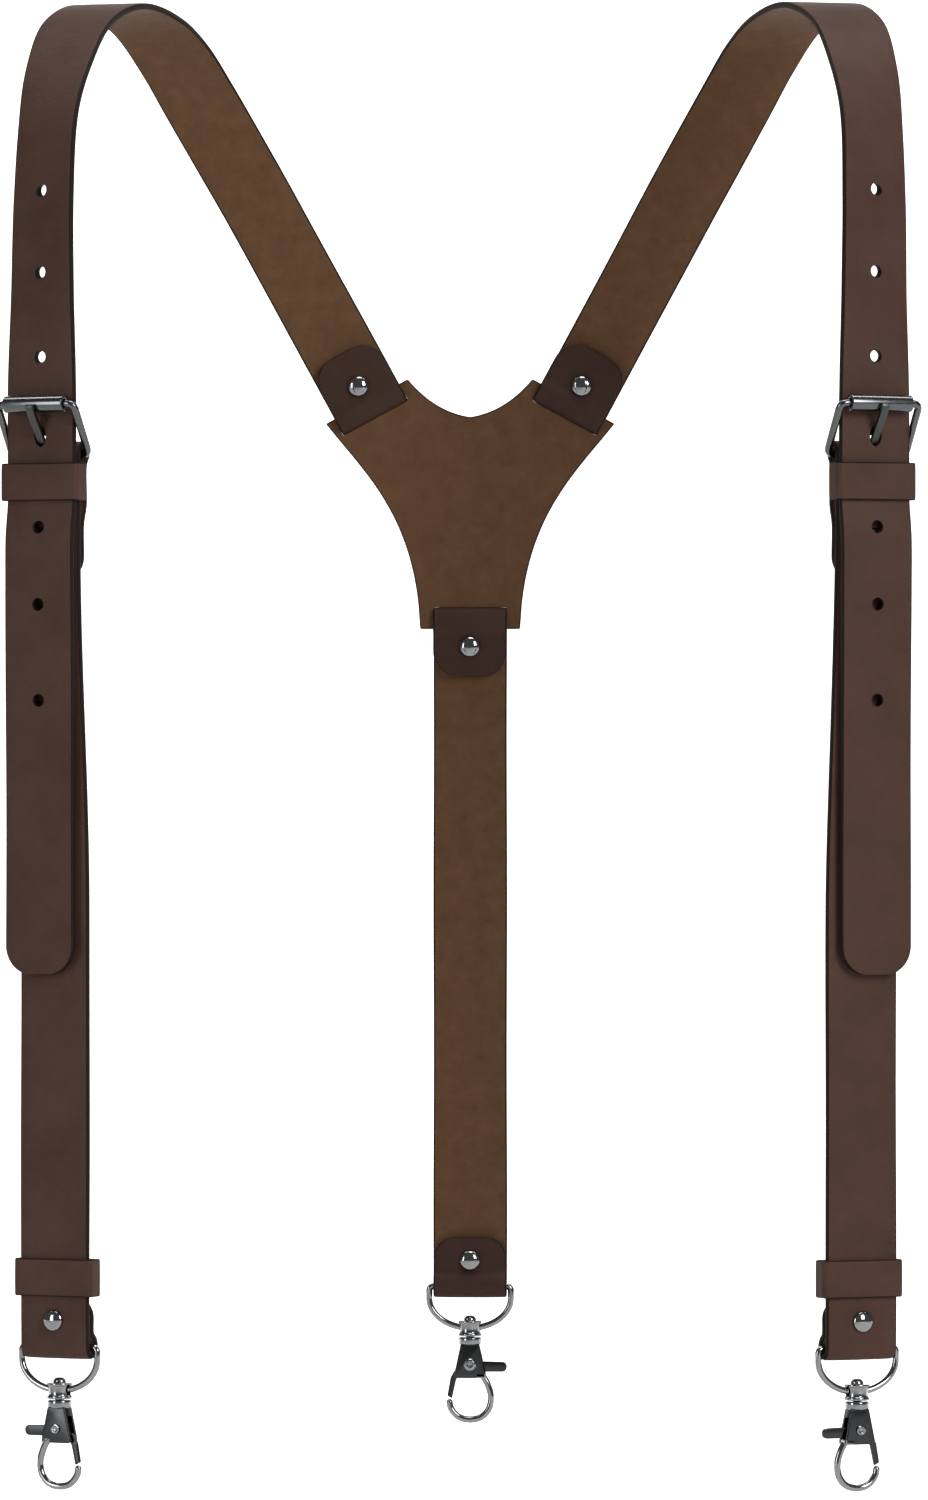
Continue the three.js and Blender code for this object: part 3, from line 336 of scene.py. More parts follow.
def carved(thing, cutters, place=None, sharp=38, number=0):
    """Takes closed cutter skins out of a piece, one after another; the cut faces take the numbered
    material."""
    split = thing.modifiers.new("split", "TRIANGULATE")
    split.min_vertices = 5
    tools = []
    for cutter in cutters:
        tool = piece(thing.name + "_cutter", [cutter], list(thing.data.materials), place)
        tool.data.polygons.foreach_set("material_index", np.full(len(tool.data.polygons), number, np.int32))
        cut = thing.modifiers.new("cut", "BOOLEAN")
        cut.operation, cut.solver, cut.object = "DIFFERENCE", "MANIFOLD", tool
        tools.append(tool)
    bpy.context.view_layer.update()
    worked = bpy.data.meshes.new_from_object(thing.evaluated_get(bpy.context.evaluated_depsgraph_get()))
    thing.modifiers.clear()
    old, thing.data = thing.data, worked
    for tool in tools:
        bpy.data.objects.remove(tool)
    bpy.data.meshes.remove(old)
    worked.name = thing.name
    finish_shading(worked, sharp)
    return thing


def ready(thing, body, node, part="finished"):
    """Names a piece after the node it stands for, and ties it to its body."""
    thing.name = thing.data.name = f"{node}_{part}"
    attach(thing, body)
    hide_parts(node)


# ---- lines ----
def flowing(points, per_leg):
    """A smooth line through the points: on each leg a cubic whose end slopes weigh the neighbouring
    chords by the square roots of their lengths."""
    p = np.asarray(points, float)
    chain = np.vstack([2 * p[0] - p[1], p, 2 * p[-1] - p[-2]])
    a, b, c, d = chain[:-3], chain[1:-2], chain[2:-1], chain[3:]
    root = lambda u, v: np.maximum(np.linalg.norm(v - u, axis=1) ** 0.5, 1e-4)[:, None]
    ab, bc, cd = root(a, b), root(b, c), root(c, d)
    slope_b = ((b - a) / ab - (c - a) / (ab + bc) + (c - b) / bc) * bc
    slope_c = ((c - b) / bc - (d - b) / (bc + cd) + (d - c) / cd) * bc
    t = np.linspace(0, 1, per_leg, endpoint=False)[None, :, None]
    b, c, slope_b, slope_c = (v[:, None, :] for v in (b, c, slope_b, slope_c))
    line = (b * (2 * t**3 - 3 * t**2 + 1) + slope_b * (t**3 - 2 * t**2 + t)
            + c * (3 * t**2 - 2 * t**3) + slope_c * (t**3 - t**2))
    return np.vstack([line.reshape(-1, 3), p[-1:]])


def lengths(points):
    return np.concatenate([[0], np.cumsum(np.linalg.norm(np.diff(points, axis=0), axis=1))])


def at_lengths(points, at):
    along = lengths(points)
    return np.stack([np.interp(at, along, points[:, n]) for n in range(points.shape[1])], -1)


def unit(v):
    return v / np.linalg.norm(v, axis=-1, keepdims=True)


def directions(points, wrap=False):
    ahead, behind = np.roll(points, -1, 0), np.roll(points, 1, 0)
    if not wrap:
        ahead[-1], behind[0] = points[-1], points[0]
    return unit(ahead - behind)


def softened(corners, cut, wrap=True, steps=6):
    """A chain of corners with each one rounded: a parabola that starts and ends cut away from the
    corner, or at 0.45 of a shorter side."""
    p = np.asarray(corners, float)
    before, after = np.roll(p, 1, 0), np.roll(p, -1, 0)
    to_before, to_after = before - p, after - p
    short = np.minimum(np.linalg.norm(to_before, axis=1), np.linalg.norm(to_after, axis=1))
    reach = np.minimum(cut, 0.45 * short)[:, None]
    start, end = p + unit(to_before) * reach, p + unit(to_after) * reach
    t = np.linspace(0, 1, steps)[None, :, None]
    arcs = (1 - t)**2 * start[:, None] + 2 * t * (1 - t) * p[:, None] + t**2 * end[:, None]
    if wrap:
        return arcs.reshape(-1, p.shape[1])
    return np.vstack([p[:1], arcs[1:-1].reshape(-1, p.shape[1]), p[-1:]])


def even_outline(points, step, ease):
    """A closed outline sampled evenly, then averaged over a window of the given length, which rounds
    its corners and leaves its straight sides where they are."""
    closed = np.vstack([points, points[:1]])
    total = lengths(closed)[-1]
    count = int(total / step)
    even = at_lengths(closed, np.arange(count) * total / count)
    half = max(int(ease / step / 2), 0)
    return np.mean([np.roll(even, n, 0) for n in range(-half, half + 1)], 0)


def bezier(a, b, c, d, steps=40):
    t = np.linspace(0, 1, steps, endpoint=False)[:, None]
    a, b, c, d = (np.asarray(v, float) for v in (a, b, c, d))
    return (1 - t)**3 * a + 3 * t * (1 - t)**2 * b + 3 * t**2 * (1 - t) * c + t**3 * d


def parabola(a, b, c, steps=24):
    a, b, c = (np.asarray(v, float) for v in (a, b, c))
    return bezier(a, a + (b - a) * 2 / 3, c + (b - c) * 2 / 3, c, steps)


# ---- shapes ----
def leather_ribbon(points, across, corner_a, corner_b, face_up, phase=0.0, step=1.1, wrap=False,
                   width=STRAP_WIDTH, thick=LEATHER, edge=EDGE_ROUND, crown=0.1, shaded_tabs=(0, 0)):
    """A strap carried along a line. At length s along it and angle round the section, a point is
    centre + across * x + through * y, with through = direction x across. The section is a flat bar
    with round edges whose faces sink by crown toward the sides; the half width narrows at each end
    as W/2 - corner (1 - sin), the ends round over by the edge radius, and the sides waver by a
    tenth of a millimetre. The face lies on +through if face_up, else on -through; within the given
    tab lengths from each end the face takes a darker copy of its colour, which is painted shade."""
    total = lengths(points)[-1]
    turn = np.linspace(0, math.pi / 2, 7)
    swing = np.linspace(0, math.pi / 2, 16)
    near = np.unique(np.concatenate([edge * (1 - np.cos(turn)), corner_a * (1 - np.cos(swing))]))
    far = np.unique(np.concatenate([edge * (1 - np.cos(turn)), corner_b * (1 - np.cos(swing))]))
    middle = np.linspace(max(near[-1], 0) + step, total - max(far[-1], 0) - step, max(int(total / step), 8))
    s = np.linspace(0, total, int(total / step), endpoint=False) if wrap else np.concatenate([
        near, middle, total - far[::-1]])
    p = at_lengths(points, s)
    w = np.stack([np.interp(s, lengths(points), across[:, n]) for n in range(3)], -1)
    along = directions(p, wrap)
    w = unit(w - np.einsum("ij,ij->i", w, along)[:, None] * along)
    through = np.cross(along, w)
    half = np.full(len(s), width / 2)
    inset = np.zeros(len(s))
    if not wrap:
        for distance, corner in ((s, corner_a), (total - s, corner_b)):
            d = np.clip(distance, 0, corner)
            half -= corner - np.sqrt(np.maximum(corner**2 - (corner - d)**2, 0))
            e = np.clip(distance, 0, edge)
            inset += edge - np.sqrt(np.maximum(edge**2 - (edge - e)**2, 0))
    half = half - inset + 0.07 * np.sin(s / 17 + phase) * (1 if width == STRAP_WIDTH else 0)
    side = thick / 2 - inset
    round_ = np.minimum(edge, np.maximum(side, 0.05))[:, None]
    arc = np.linspace(-math.pi / 2, math.pi / 2, 11)
    flat = np.linspace(1, -1, 15)[1:-1]
    lift = np.sign(np.round(np.sin(arc), 6))
    cx = np.concatenate([np.ones(11), flat, -np.ones(11), -flat])
    ox = np.concatenate([np.cos(arc), 0 * flat, -np.cos(arc), 0 * flat])
    cy = np.concatenate([lift, 1 + 0 * flat, -lift, -1 + 0 * flat])
    oy = np.concatenate([np.sin(arc), 1 + 0 * flat, -np.sin(arc), -1 + 0 * flat])
    x = (half[:, None] - round_) * cx + round_ * ox
    y = (side[:, None] - round_) * cy + round_ * oy
    y = y * (1 - crown * np.abs(cx)**4 * (side[:, None] > thick / 2 - 0.02))
    rings = p[:, None] + w[:, None] * x[..., None] + through[:, None] * y[..., None]
    up, down = (FACE_NO, FLESH_NO) if face_up else (FLESH_NO, FACE_NO)
    sides = np.concatenate([np.full(10, PAINT_NO), np.full(14, up), np.full(10, PAINT_NO), np.full(14, down)])
    sides[[0, 9, 24, 33]] = [down, up, up, down]
    numbers = np.tile(sides, (len(s) if wrap else len(s) - 1, 1))
    if wrap:
        return ring_shell(rings, numbers, wrap=True)
    middle = (s[1:] + s[:-1])[:, None] / 2
    # Painted shade: in the tab lengths at each end the face takes the darker copy of its colour.
    tab = (middle < shaded_tabs[0]) | (middle > total - shaded_tabs[1])
    numbers = np.where(tab & (numbers == FACE_NO), SHADED_FACE_NO, numbers)
    numbers[:4] = PAINT_NO
    numbers[-4:] = PAINT_NO
    return capped(ring_shell(rings, numbers), PAINT_NO, PAINT_NO)


def wire(points, normal, radius, wrap=False, sides=20, number=0):
    """Round wire along a flat line: points at centre + radius (cos a * sideways + sin a * normal);
    open ends close as half spheres."""
    radius = np.broadcast_to(np.asarray(radius, float), (len(points),)).copy()
    if not wrap:
        s = lengths(points)
        total = s[-1]
        near = radius[0] * (1 - np.cos(np.linspace(0.18, math.pi / 2, 7)))
        far = radius[-1] * (1 - np.cos(np.linspace(0.18, math.pi / 2, 7)))
        inner = s[(s > near[-1] * 1.1) & (s < total - far[-1] * 1.1)]
        at = np.concatenate([near, inner, total - far[::-1]])
        radius = np.interp(at, s, radius)
        points = at_lengths(points, at)
        for d, r in ((at, radius[0]), (total - at, radius[-1])):
            e = np.clip(d, 0, r)
            rounded = np.sqrt(np.maximum(r * r - (r - e)**2, 1e-4))
            radius = np.minimum(radius, np.where(d < r, rounded, radius))
    along = directions(points, wrap)
    sideways = np.cross(np.broadcast_to(normal, along.shape), along)
    angle = np.linspace(0, 2 * math.pi, sides, endpoint=False)
    rings = (points[:, None] + radius[:, None, None] * (np.cos(angle)[None, :, None] * sideways[:, None]
             + np.sin(angle)[None, :, None] * np.asarray(normal)[None, None]))
    return ring_shell(rings, number, wrap)


def turned(profile, cut=0.2, sides=48, axis="z", wrap=False, number=0):
    """A turned solid: a profile of (radius, height) with rounded corners, carried round an axis.
    A profile that wraps makes a tube."""
    p = softened(profile, cut, wrap)
    p = np.column_stack([np.maximum(p[:, 0], 0.02), p[:, 1]])
    angle = np.linspace(0, 2 * math.pi, sides, endpoint=False)
    r, h = p[:, :1], np.broadcast_to(p[:, 1:], (len(p), sides))
    u, v = r * np.cos(angle), r * np.sin(angle)
    order = {"z": (u, v, h), "y": (u, h, v), "x": (h, u, v)}[axis]
    return ring_shell(np.stack(order, -1), number, wrap)


def plate(outline, front, back, rim, number=0, rim_number=None, steps=7):
    """A flat plate: an outline of (x, z) between two y values, its rim rounded by quarter circles."""
    tangent = directions(outline, True)
    area = np.sum(outline[:, 0] * np.roll(outline[:, 1], -1) - np.roll(outline[:, 0], -1) * outline[:, 1])
    inward = np.column_stack([-tangent[:, 1], tangent[:, 0]]) * np.sign(area)
    a = np.linspace(0, math.pi / 2, steps)
    inset = np.concatenate([rim * (1 - np.sin(a)), rim * (1 - np.sin(a[::-1]))])
    y = np.concatenate([front + rim * (1 - np.cos(a)), back - rim * (1 - np.cos(a[::-1]))])
    flat = outline[None] + inward[None] * inset[:, None, None]
    rings = np.stack([flat[..., 0], np.broadcast_to(y[:, None], flat.shape[:2]), flat[..., 1]], -1)
    edge = number if rim_number is None else rim_number
    return capped(ring_shell(rings, edge), number, number)


def block(low, high):
    """A plain box, for cutting."""
    (x0, y0, z0), (x1, y1, z1) = low, high
    ring = np.array([[x0, z0], [x1, z0], [x1, z1], [x0, z1]])
    rings = np.stack([np.insert(ring, 1, y, axis=1) for y in (y0, y1)])
    return ring_shell(rings)


def drill(radius, centre, direction, reach=6.0, flare=0.0, half=LEATHER / 2):
    """A round cutter along a direction, flared where it meets both faces."""
    axis = unit(np.asarray(direction, float))
    u = unit(np.cross(axis, X if abs(axis[0]) < 0.8 else Y))
    v = np.cross(axis, u)
    t = np.array([-reach, -half - 0.3, -half + 0.3, half - 0.3, half + 0.3, reach])
    r = radius + flare * np.array([2, 2, 0, 0, 2, 2])
    angle = np.linspace(0, 2 * math.pi, 40, endpoint=False)
    rings = (np.asarray(centre)[None, None] + t[:, None, None] * axis
             + r[:, None, None] * (np.cos(angle)[None, :, None] * u + np.sin(angle)[None, :, None] * v))
    return ring_shell(rings)


def bar(points, half_width, half_thick):
    """A flat bar across X carried along a line in the y-z plane, its half thickness given at every
    point. The section is a softened square whose x and y are each raised to the power 0.45."""
    along = directions(points)
    through = np.cross(along, X)
    section = softened([[-1, -1], [1, -1], [1, 1], [-1, 1]], 2.0, steps=6)
    x, y = (np.sign(section) * np.abs(section)**0.45).T
    wide = half_width * x[None, :, None] * X
    deep = (half_thick[:, None] * y)[..., None] * through[:, None]
    return ring_shell(points[:, None] + wide + deep)


# ---- placing ----
def arm_point(rise, y, across=0.0):
    p = ARM_FOLD + ARM_UP * rise + ARM_ACROSS * across
    return [p[0], y, p[2]]


def front_place(side):
    """From a front strap's own axes (across, backward, up) to the frame."""
    c, s = math.cos(FRONT_YAW), math.sin(FRONT_YAW)
    turn = np.array([[c, side * s, 0], [-side * s, c, 0], [0, 0, 1]])
    return lambda p: np.asarray(p) @ turn + np.array([side * FRONT_X, FRONT_Y, 0])


def shifted(place, offset, facing=1):
    """The same, from axes that start at an offset and may face the other way about Z."""
    return lambda p: place(np.asarray(p) * np.array([facing, facing, 1]) + np.asarray(offset, float))


def same(p):
    return np.asarray(p)


# ---- yoke ----
def yoke_outline():
    outer, inner = arm_point(ARM_END, 0, -ARM_HALF_WIDTH), arm_point(ARM_END, 0, ARM_HALF_WIDTH)
    outer, inner = np.array(outer)[[0, 2]], np.array(inner)[[0, 2]]
    flare = np.array(arm_point(ARM_END - 19.5, 0, 3.3 - ARM_HALF_WIDTH))[[0, 2]]
    waist, hip = [-STEM_HALF_WIDTH - 4, STEM_FOLD_Z + 32.9], [-STEM_HALF_WIDTH - 0.6, STEM_FOLD_Z + 0.9]
    notch = ARM_FOLD[2] + 0.5
    left = np.vstack([bezier(outer, flare, waist, hip), [hip, [-STEM_HALF_WIDTH, STEM_END_Z]]])
    top = parabola([0, notch], [0.566 * inner[0], notch + 1.8], inner)
    half = np.vstack([top, [inner], left])
    return even_outline(np.vstack([half, (half * [-1, 1])[::-1][:-1]]), 0.4, 1.2)


def slot_cutter(rise_low, rise_high, side):
    """A slot across an arm, or across the stem where side is 0."""
    w = STRAP_WIDTH / 2 + 0.08
    corners = softened([[-w, rise_low], [w, rise_low], [w, rise_high], [-w, rise_high]], 1.0)
    if side:
        flat = ARM_FOLD[[0, 2]] + corners[:, :1] * ARM_ACROSS[[0, 2]] + corners[:, 1:] * ARM_UP[[0, 2]]
        corners = flat * [-side, 1]
    rings = np.stack([np.insert(corners, 1, y, axis=1) for y in (BACK_Y - 6, BACK_Y + 6)])
    return ring_shell(rings)


def yoke():
    skin = plate(yoke_outline(), BACK_Y - LEATHER / 2, BACK_Y + LEATHER / 2, 0.5, rim_number=PAINT_NO)
    thing = piece("yoke", [capped(skin, FLESH_NO, FACE_NO)], [FACE, FLESH, RAW_EDGE])
    carved(thing, [slot_cutter(0.06, FOLD_REACH, -1), slot_cutter(0.06, FOLD_REACH, 1),
                   slot_cutter(STEM_FOLD_Z - FOLD_REACH, STEM_FOLD_Z - 0.06, 0)], number=PAINT_NO)
    ready(thing, "harness", "yoke")


# ---- straps ----
def half_turn(steps=16):
    return np.linspace(0, math.pi, steps + 1)


ARM_ROUTE = [(22.6, 0.6), (53.2, -4.5), (83.8, -12)]
OVER_ROUTE = [
    (0.126, 0.117, -45.2, 0.885, -0.02, 0.465),
    (0.293, 0.177, -26.8, 0.915, -0.09, 0.39),
    (0.416, 0.243, -13.6, 0.94, -0.17, 0.29),
    (0.55, 0.347, -3.4, 0.96, -0.25, 0.12),
    (0.729, 0.5, 1.2, 0.956, -0.292, 0),
    (0.872, 0.637, -5.6, 0.93, -0.37, -0.02),
    (0.944, 0.75, -19.4, 0.85, -0.52, -0.02),
    (0.99, 0.863, -40, 0.755, -0.656, 0),
    (1.002, 0.943, -67, 0.79, -0.61, 0),
    (1, 0.987, -98, 0.829, -0.559, 0),
    (1, 1, BUCKLE_BAR_Z + 27.7, 0.89, -0.456, 0),
]


def shoulder_line():
    """The left shoulder strap's centre line and its across directions, from the tab on the yoke,
    through the slot, over the shoulder and down to the tip of the tail."""
    a, y = np.array, BACK_Y
    head = [arm_point(ARM_TAB - d, y - MAIN_OFFSET - 1.1 * (1 - d / 12.5)) for d in (0, 4, 8, 12.5)]
    head += [arm_point(ARM_TURN + 1.1, y - MAIN_OFFSET - 0.1), arm_point(ARM_TURN - 0.6, y - YOKE_FOLD)]
    head += [arm_point(FOLD_REACH - YOKE_FOLD * math.sin(t), y - YOKE_FOLD * math.cos(t))
             for t in half_turn(10)]
    head += [arm_point(ARM_TURN - 0.6, y + YOKE_FOLD), arm_point(ARM_TURN + 1.1, y + MAIN_OFFSET + 0.1)]
    arm = [arm_point(ARM_RIVET, y + MAIN_OFFSET)] + [arm_point(rise, y + off) for rise, off in ARM_ROUTE]
    start = arm[-1][0]
    over = [(start + (-FRONT_X - start) * out, BACK_Y + (FRONT_Y - BACK_Y) * deep, z)
            for out, deep, z, *_ in OVER_ROUTE]
    over_w = [ARM_ACROSS] + [(0.878, 0, 0.479)] * 3 + [w for *_, w in ((r[0], r[3:]) for r in OVER_ROUTE)]
    over, over_w = flowing(arm + over, 6), flowing(over_w, 6)
    low, end = BUCKLE_RIVET_Z - 15, TAIL_TIP_Z + TAIL_CORNER
    tail = [(BUCKLE_BAR_Z + 15.7, 0), (BUCKLE_BAR_Z + 7.7, 0), (UPPER_KEEPER_TOP + 0.5, 0),
            (UPPER_KEEPER_TOP - KEEPER_HEIGHT - 0.3, 0), (BUCKLE_RIVET_Z + 1, -1.5), (low, -1.6),
            (low + (end - low) * 0.24, -1.3), (low + (end - low) * 0.58, -1), (end, -1), (TAIL_TIP_Z, -1)]
    tail = front_place(-1)(a([(0, off, z) for z, off in tail]))
    tail_w = np.tile([math.cos(FRONT_YAW), -math.sin(FRONT_YAW), 0], (len(tail), 1))
    points = np.vstack([head, over, tail])
    across = np.vstack([np.tile(ARM_ACROSS, (len(head), 1)), over_w, tail_w])
    return flowing(points, 4), flowing(across, 4)


def prong_numbers():
    """The prong's line: it leaves its eye as a tangent and passes in front of the roller."""
    bar_at = np.array([0, BUCKLE_BAR_Y, BUCKLE_BAR_Z])
    roll = np.array([0, ROLLER_Y, BUCKLE_BAR_Z + ROLLER_RISE])
    plane = roll - bar_at
    eye = BAR_WIRE + GAP + 0.425
    clear = ROLLER_RADIUS + GAP + 0.8
    lean = math.atan2(-plane[1], plane[2]) + math.asin((clear - eye) / np.linalg.norm(plane))
    along = np.array([0, -math.sin(lean), math.cos(lean)])
    out = np.array([0, -math.cos(lean), -math.sin(lean)])
    return bar_at, roll, eye, clear, along, out


def shoulder_strap(side, name):
    points, across = shoulder_line()
    if side > 0:
        points, across = points * [-1, 1, 1], across * [1, -1, -1]
    thing = piece(f"{name}_shoulder_strap", [leather_ribbon(
        points, across, YOKE_TAB_CORNER, TAIL_CORNER, True, phase=side, shaded_tabs=(27, 0))], LEATHERS)
    bar_at, _, eye, _, along, out = prong_numbers()
    hit = bar_at + out * eye
    hit = hit + along * (-hit[1] / along[1])
    front = np.nonzero(points[:, 1] < 0)[0]
    cutters = []
    for step in (3, 2, 1, -1, -2, -3):
        n = front[np.argmin(np.abs(points[front, 2] - hit[2] - step * HOLE_PITCH))]
        w = across[n]
        cutters.append(drill(HOLE_RADIUS, points[n], [-w[1], w[0], 0], flare=0.22))
    place = front_place(side)
    cutters.append(drill(PRONG_HOLE_RADIUS, place(hit), place(hit + along) - place(hit), reach=5))
    rivet = np.array(arm_point(ARM_RIVET, BACK_Y)) * [-side, 1, 1]
    cutters.append(drill(RIVET_HOLE, rivet, Y, reach=7))
    carved(thing, cutters, number=PAINT_NO)
    ready(thing, "harness", f"{name}_shoulder_strap")


def ring_closing():
    flat = LAYER_STEP - RING_FOLD
    return [(rise * RING_FOLD, flat + (RING_FOLD - flat) * left)
            for rise, left in ((0.44, 0.96), (1.02, 0.64), (1.4, 0.21), (RING_CLOSED, 0.02))]


def lower_strap(side, name):
    """Tab behind the keeper, round the buckle bar, down the front with a slow drift toward the
    middle, round the D-ring and up behind to the rivet."""
    shift = -side * LOWER_SHIFT
    line = [(0, BACK_LAYER_Y, BUCKLE_TAB_Z + d) for d in (0, 4, 8)]
    line += [(0, BACK_LAYER_Y, BUCKLE_RIVET_Z + 5), (0, BEHIND_KEEPER_Y, BUCKLE_RIVET_Z + 11),
             (0, BEHIND_KEEPER_Y, UPPER_KEEPER_TOP - 0.5)]
    line += [(0, BUCKLE_BAR_Y + BAR_FOLD * math.cos(t), BUCKLE_BAR_Z + BAR_FOLD * math.sin(t))
             for t in half_turn(12)]
    for step in range(7):
        t = min(max((step - 0.2) / 5.6, 0), 1)
        z = BUCKLE_BAR_Z - 15.3 + (TAIL_TIP_Z + 8.4 - BUCKLE_BAR_Z + 15.3) * step / 6
        line.append((shift * t * t * (3 - 2 * t), LOWER_FRONT_Y, z))
    line += [(shift, FRONT_RING_Y - RING_FOLD * math.cos(t), FRONT_RING_Z - RING_FOLD * math.sin(t))
             for t in half_turn(12)]
    line += [(shift, FRONT_RING_Y + off, FRONT_RING_Z + rise) for rise, off in ring_closing()]
    line += [(shift, BACK_LAYER_Y, FRONT_END_Z + RING_TAB_RISE - d) for d in (7, 0)]
    points = flowing(line, 6)
    place = front_place(side)
    strap = leather_ribbon(points, np.tile(X, (len(points), 1)), RING_TAB_CORNER, RING_TAB_CORNER, True,
                           phase=2 * side)
    thing = piece(f"{name}_lower_strap", [strap], LEATHERS, place)
    fold = 2 * BAR_FOLD + LEATHER
    slot = block((-1.7, BUCKLE_BAR_Y - fold / 2 - 2.5, BUCKLE_BAR_Z - fold / 2 - 0.65),
                 (1.7, BUCKLE_BAR_Y + fold / 2 + 2.5, BUCKLE_BAR_Z + fold / 2 + 0.65))
    carved(thing, [slot, drill(RIVET_HOLE, (0, BACK_LAYER_Y, BUCKLE_RIVET_Z), Y),
                   drill(RIVET_HOLE, (shift, BACK_LAYER_Y, FRONT_RIVET_Z), Y)], place, number=PAINT_NO)
    ready(thing, "harness", f"{name}_lower_strap")


def rear_strap():
    fold = STEM_FOLD_Z - FOLD_REACH
    line = [(BACK_Y - MAIN_OFFSET, STEM_TAB_Z + d) for d in (0, 4, 9)]
    line += [(BACK_Y - MAIN_OFFSET - 0.1, STEM_TURN_Z - 1.1), (BACK_Y - YOKE_FOLD, STEM_TURN_Z + 0.7)]
    line += [(BACK_Y - YOKE_FOLD * math.cos(t), fold + YOKE_FOLD * math.sin(t)) for t in half_turn(10)]
    line += [(BACK_Y + YOKE_FOLD, STEM_TURN_Z + 0.7), (REAR_MAIN_Y + 0.1, STEM_TURN_Z - 1.1)]
    line += [(REAR_MAIN_Y, z) for z in np.linspace(STEM_RIVET_Z, REAR_RING_Z + 6, 14)]
    line += [(REAR_RING_Y + RING_FOLD * math.cos(t), REAR_RING_Z - RING_FOLD * math.sin(t))
             for t in half_turn(12)]
    line += [(REAR_RING_Y - off, REAR_RING_Z + rise) for rise, off in ring_closing()]
    line += [(REAR_MAIN_Y - LAYER_STEP, REAR_END_Z + RING_TAB_RISE - d) for d in (7, 0)]
    points = flowing([(0, *p) for p in line], 6)
    thing = piece("rear_strap", [leather_ribbon(
        points, np.tile(X, (len(points), 1)), YOKE_TAB_CORNER, RING_TAB_CORNER, False, phase=0.6,
        shaded_tabs=(27, 21))], LEATHERS)
    carved(thing, [drill(RIVET_HOLE, (0, BACK_Y, STEM_RIVET_Z), Y, reach=7),
                   drill(RIVET_HOLE, (0, BACK_Y, REAR_RIVET_Z), Y, reach=7)], number=PAINT_NO)
    ready(thing, "harness", "rear_strap")


def keeper(name, body, place):
    """A thin band whose centre line is a rectangle with rounded corners round both layers."""
    half = KEEPER_IN_HALF + KEEPER_WALL / 2
    front, back = -LEATHER / 2 - GAP - KEEPER_WALL / 2, LOWER_FRONT_Y + LEATHER / 2 + GAP + KEEPER_WALL / 2
    loop = softened([[-half, front], [half, front], [half, back], [-half, back]], 1.5, steps=12)
    loop = np.column_stack([loop, np.zeros(len(loop))])
    loop = np.vstack([loop, loop[:1]])
    skin = leather_ribbon(loop, np.tile(Z, (len(loop), 1)), 0, 0, True, wrap=True, step=0.35,
                          width=KEEPER_HEIGHT, thick=KEEPER_WALL, edge=0.55, crown=0.08)
    ready(piece(name, [skin], LEATHERS, place), body, name)


# ---- rivets ----
def rivet(name, thickness, at, place, dome=RIVET_DOME):
    """A domed cap, height = dome * cos a at radius R sin a, and a flat base behind the leather."""
    thickness += 2 * GAP
    a = np.linspace(0, 1.45, 10)
    crown = np.column_stack([RIVET_RADIUS * np.sin(a), 0.12 + (dome - 0.12) * np.cos(a)])
    cap = np.vstack([crown, [[RIVET_RADIUS, 0], [1.5, 0], [1.5, 0.7 - thickness], [1, 0.7 - thickness],
                             [1, -0.3], [0, -0.3]]])
    base = -thickness
    post = np.array([[0, -1.2], [0.7, -1.2], [0.7, base], [3.3, base], [3.3, base - 0.5], [2.9, base - 0.8],
                     [1.1, base - 0.8], [0.8, base - 0.55], [0, base - 0.55]])
    where = shifted(place, np.asarray(at, float) - [0, GAP, 0])
    for part, profile in (("cap", cap), ("post", post)):
        skin = turned(profile * [1, -1], 0.12, axis="y")
        ready(piece(f"{name}_{part}", [skin], [NICKEL], where), "harness", f"{name}_{part}")


# ---- buckle ----
def buckle(side, name):
    place = front_place(side)
    bar_at, roll, eye, clear, along, out = prong_numbers()
    up = unit(roll - bar_at)
    long = np.linalg.norm(roll - bar_at)
    flat = softened([[-FRAME_HALF_WIDTH, 0], [FRAME_HALF_WIDTH, 0], [FRAME_HALF_WIDTH, long],
                     [-FRAME_HALF_WIDTH, long]], 2.6, steps=14)
    line = bar_at + flat[:, :1] * X + flat[:, 1:] * up
    skin = wire(line, np.cross(X, up), BAR_WIRE, wrap=True, sides=28)
    ready(piece(f"{name}_buckle_frame", [skin], [GUNMETAL], place),
          f"{name}_frame", f"{name}_buckle_frame")

    inside, half = BAR_WIRE + GAP, ROLLER_LENGTH / 2
    tube = turned([[inside, -half], [ROLLER_RADIUS, -half], [ROLLER_RADIUS, half], [inside, half]], 0.35,
                  axis="x", wrap=True)
    where = shifted(place, roll)
    ready(piece(f"{name}_buckle_roller", [tube], [GUNMETAL], where),
          f"{name}_roller", f"{name}_buckle_roller")

    turn = np.linspace(-5.35, 0, 30)
    wrap = bar_at + eye * (np.cos(turn)[:, None] * out + np.sin(turn)[:, None] * along)
    reach = (roll - bar_at - out * eye) @ along
    straight = bar_at + out * eye + along * np.linspace(0.5, reach - 0.3, 26)[:, None]
    bend = np.linspace(0, 0.6, 8)
    over = roll + clear * (np.cos(bend)[:, None] * out + np.sin(bend)[:, None] * along)
    line = np.vstack([wrap, straight, over])
    s = lengths(line)
    near = lengths(wrap)[-1]
    thick = 0.425 + 0.375 * np.clip((s - near - 0.5) / 2.5, 0, 1)
    thick = thick * np.clip(0.55 + (s[-1] - s) / 1.6, 0, 1)
    skin = bar(line, 1.3, thick)
    ready(piece(f"{name}_buckle_prong", [skin], [DARK_STEEL], place),
          f"{name}_prong", f"{name}_buckle_prong")


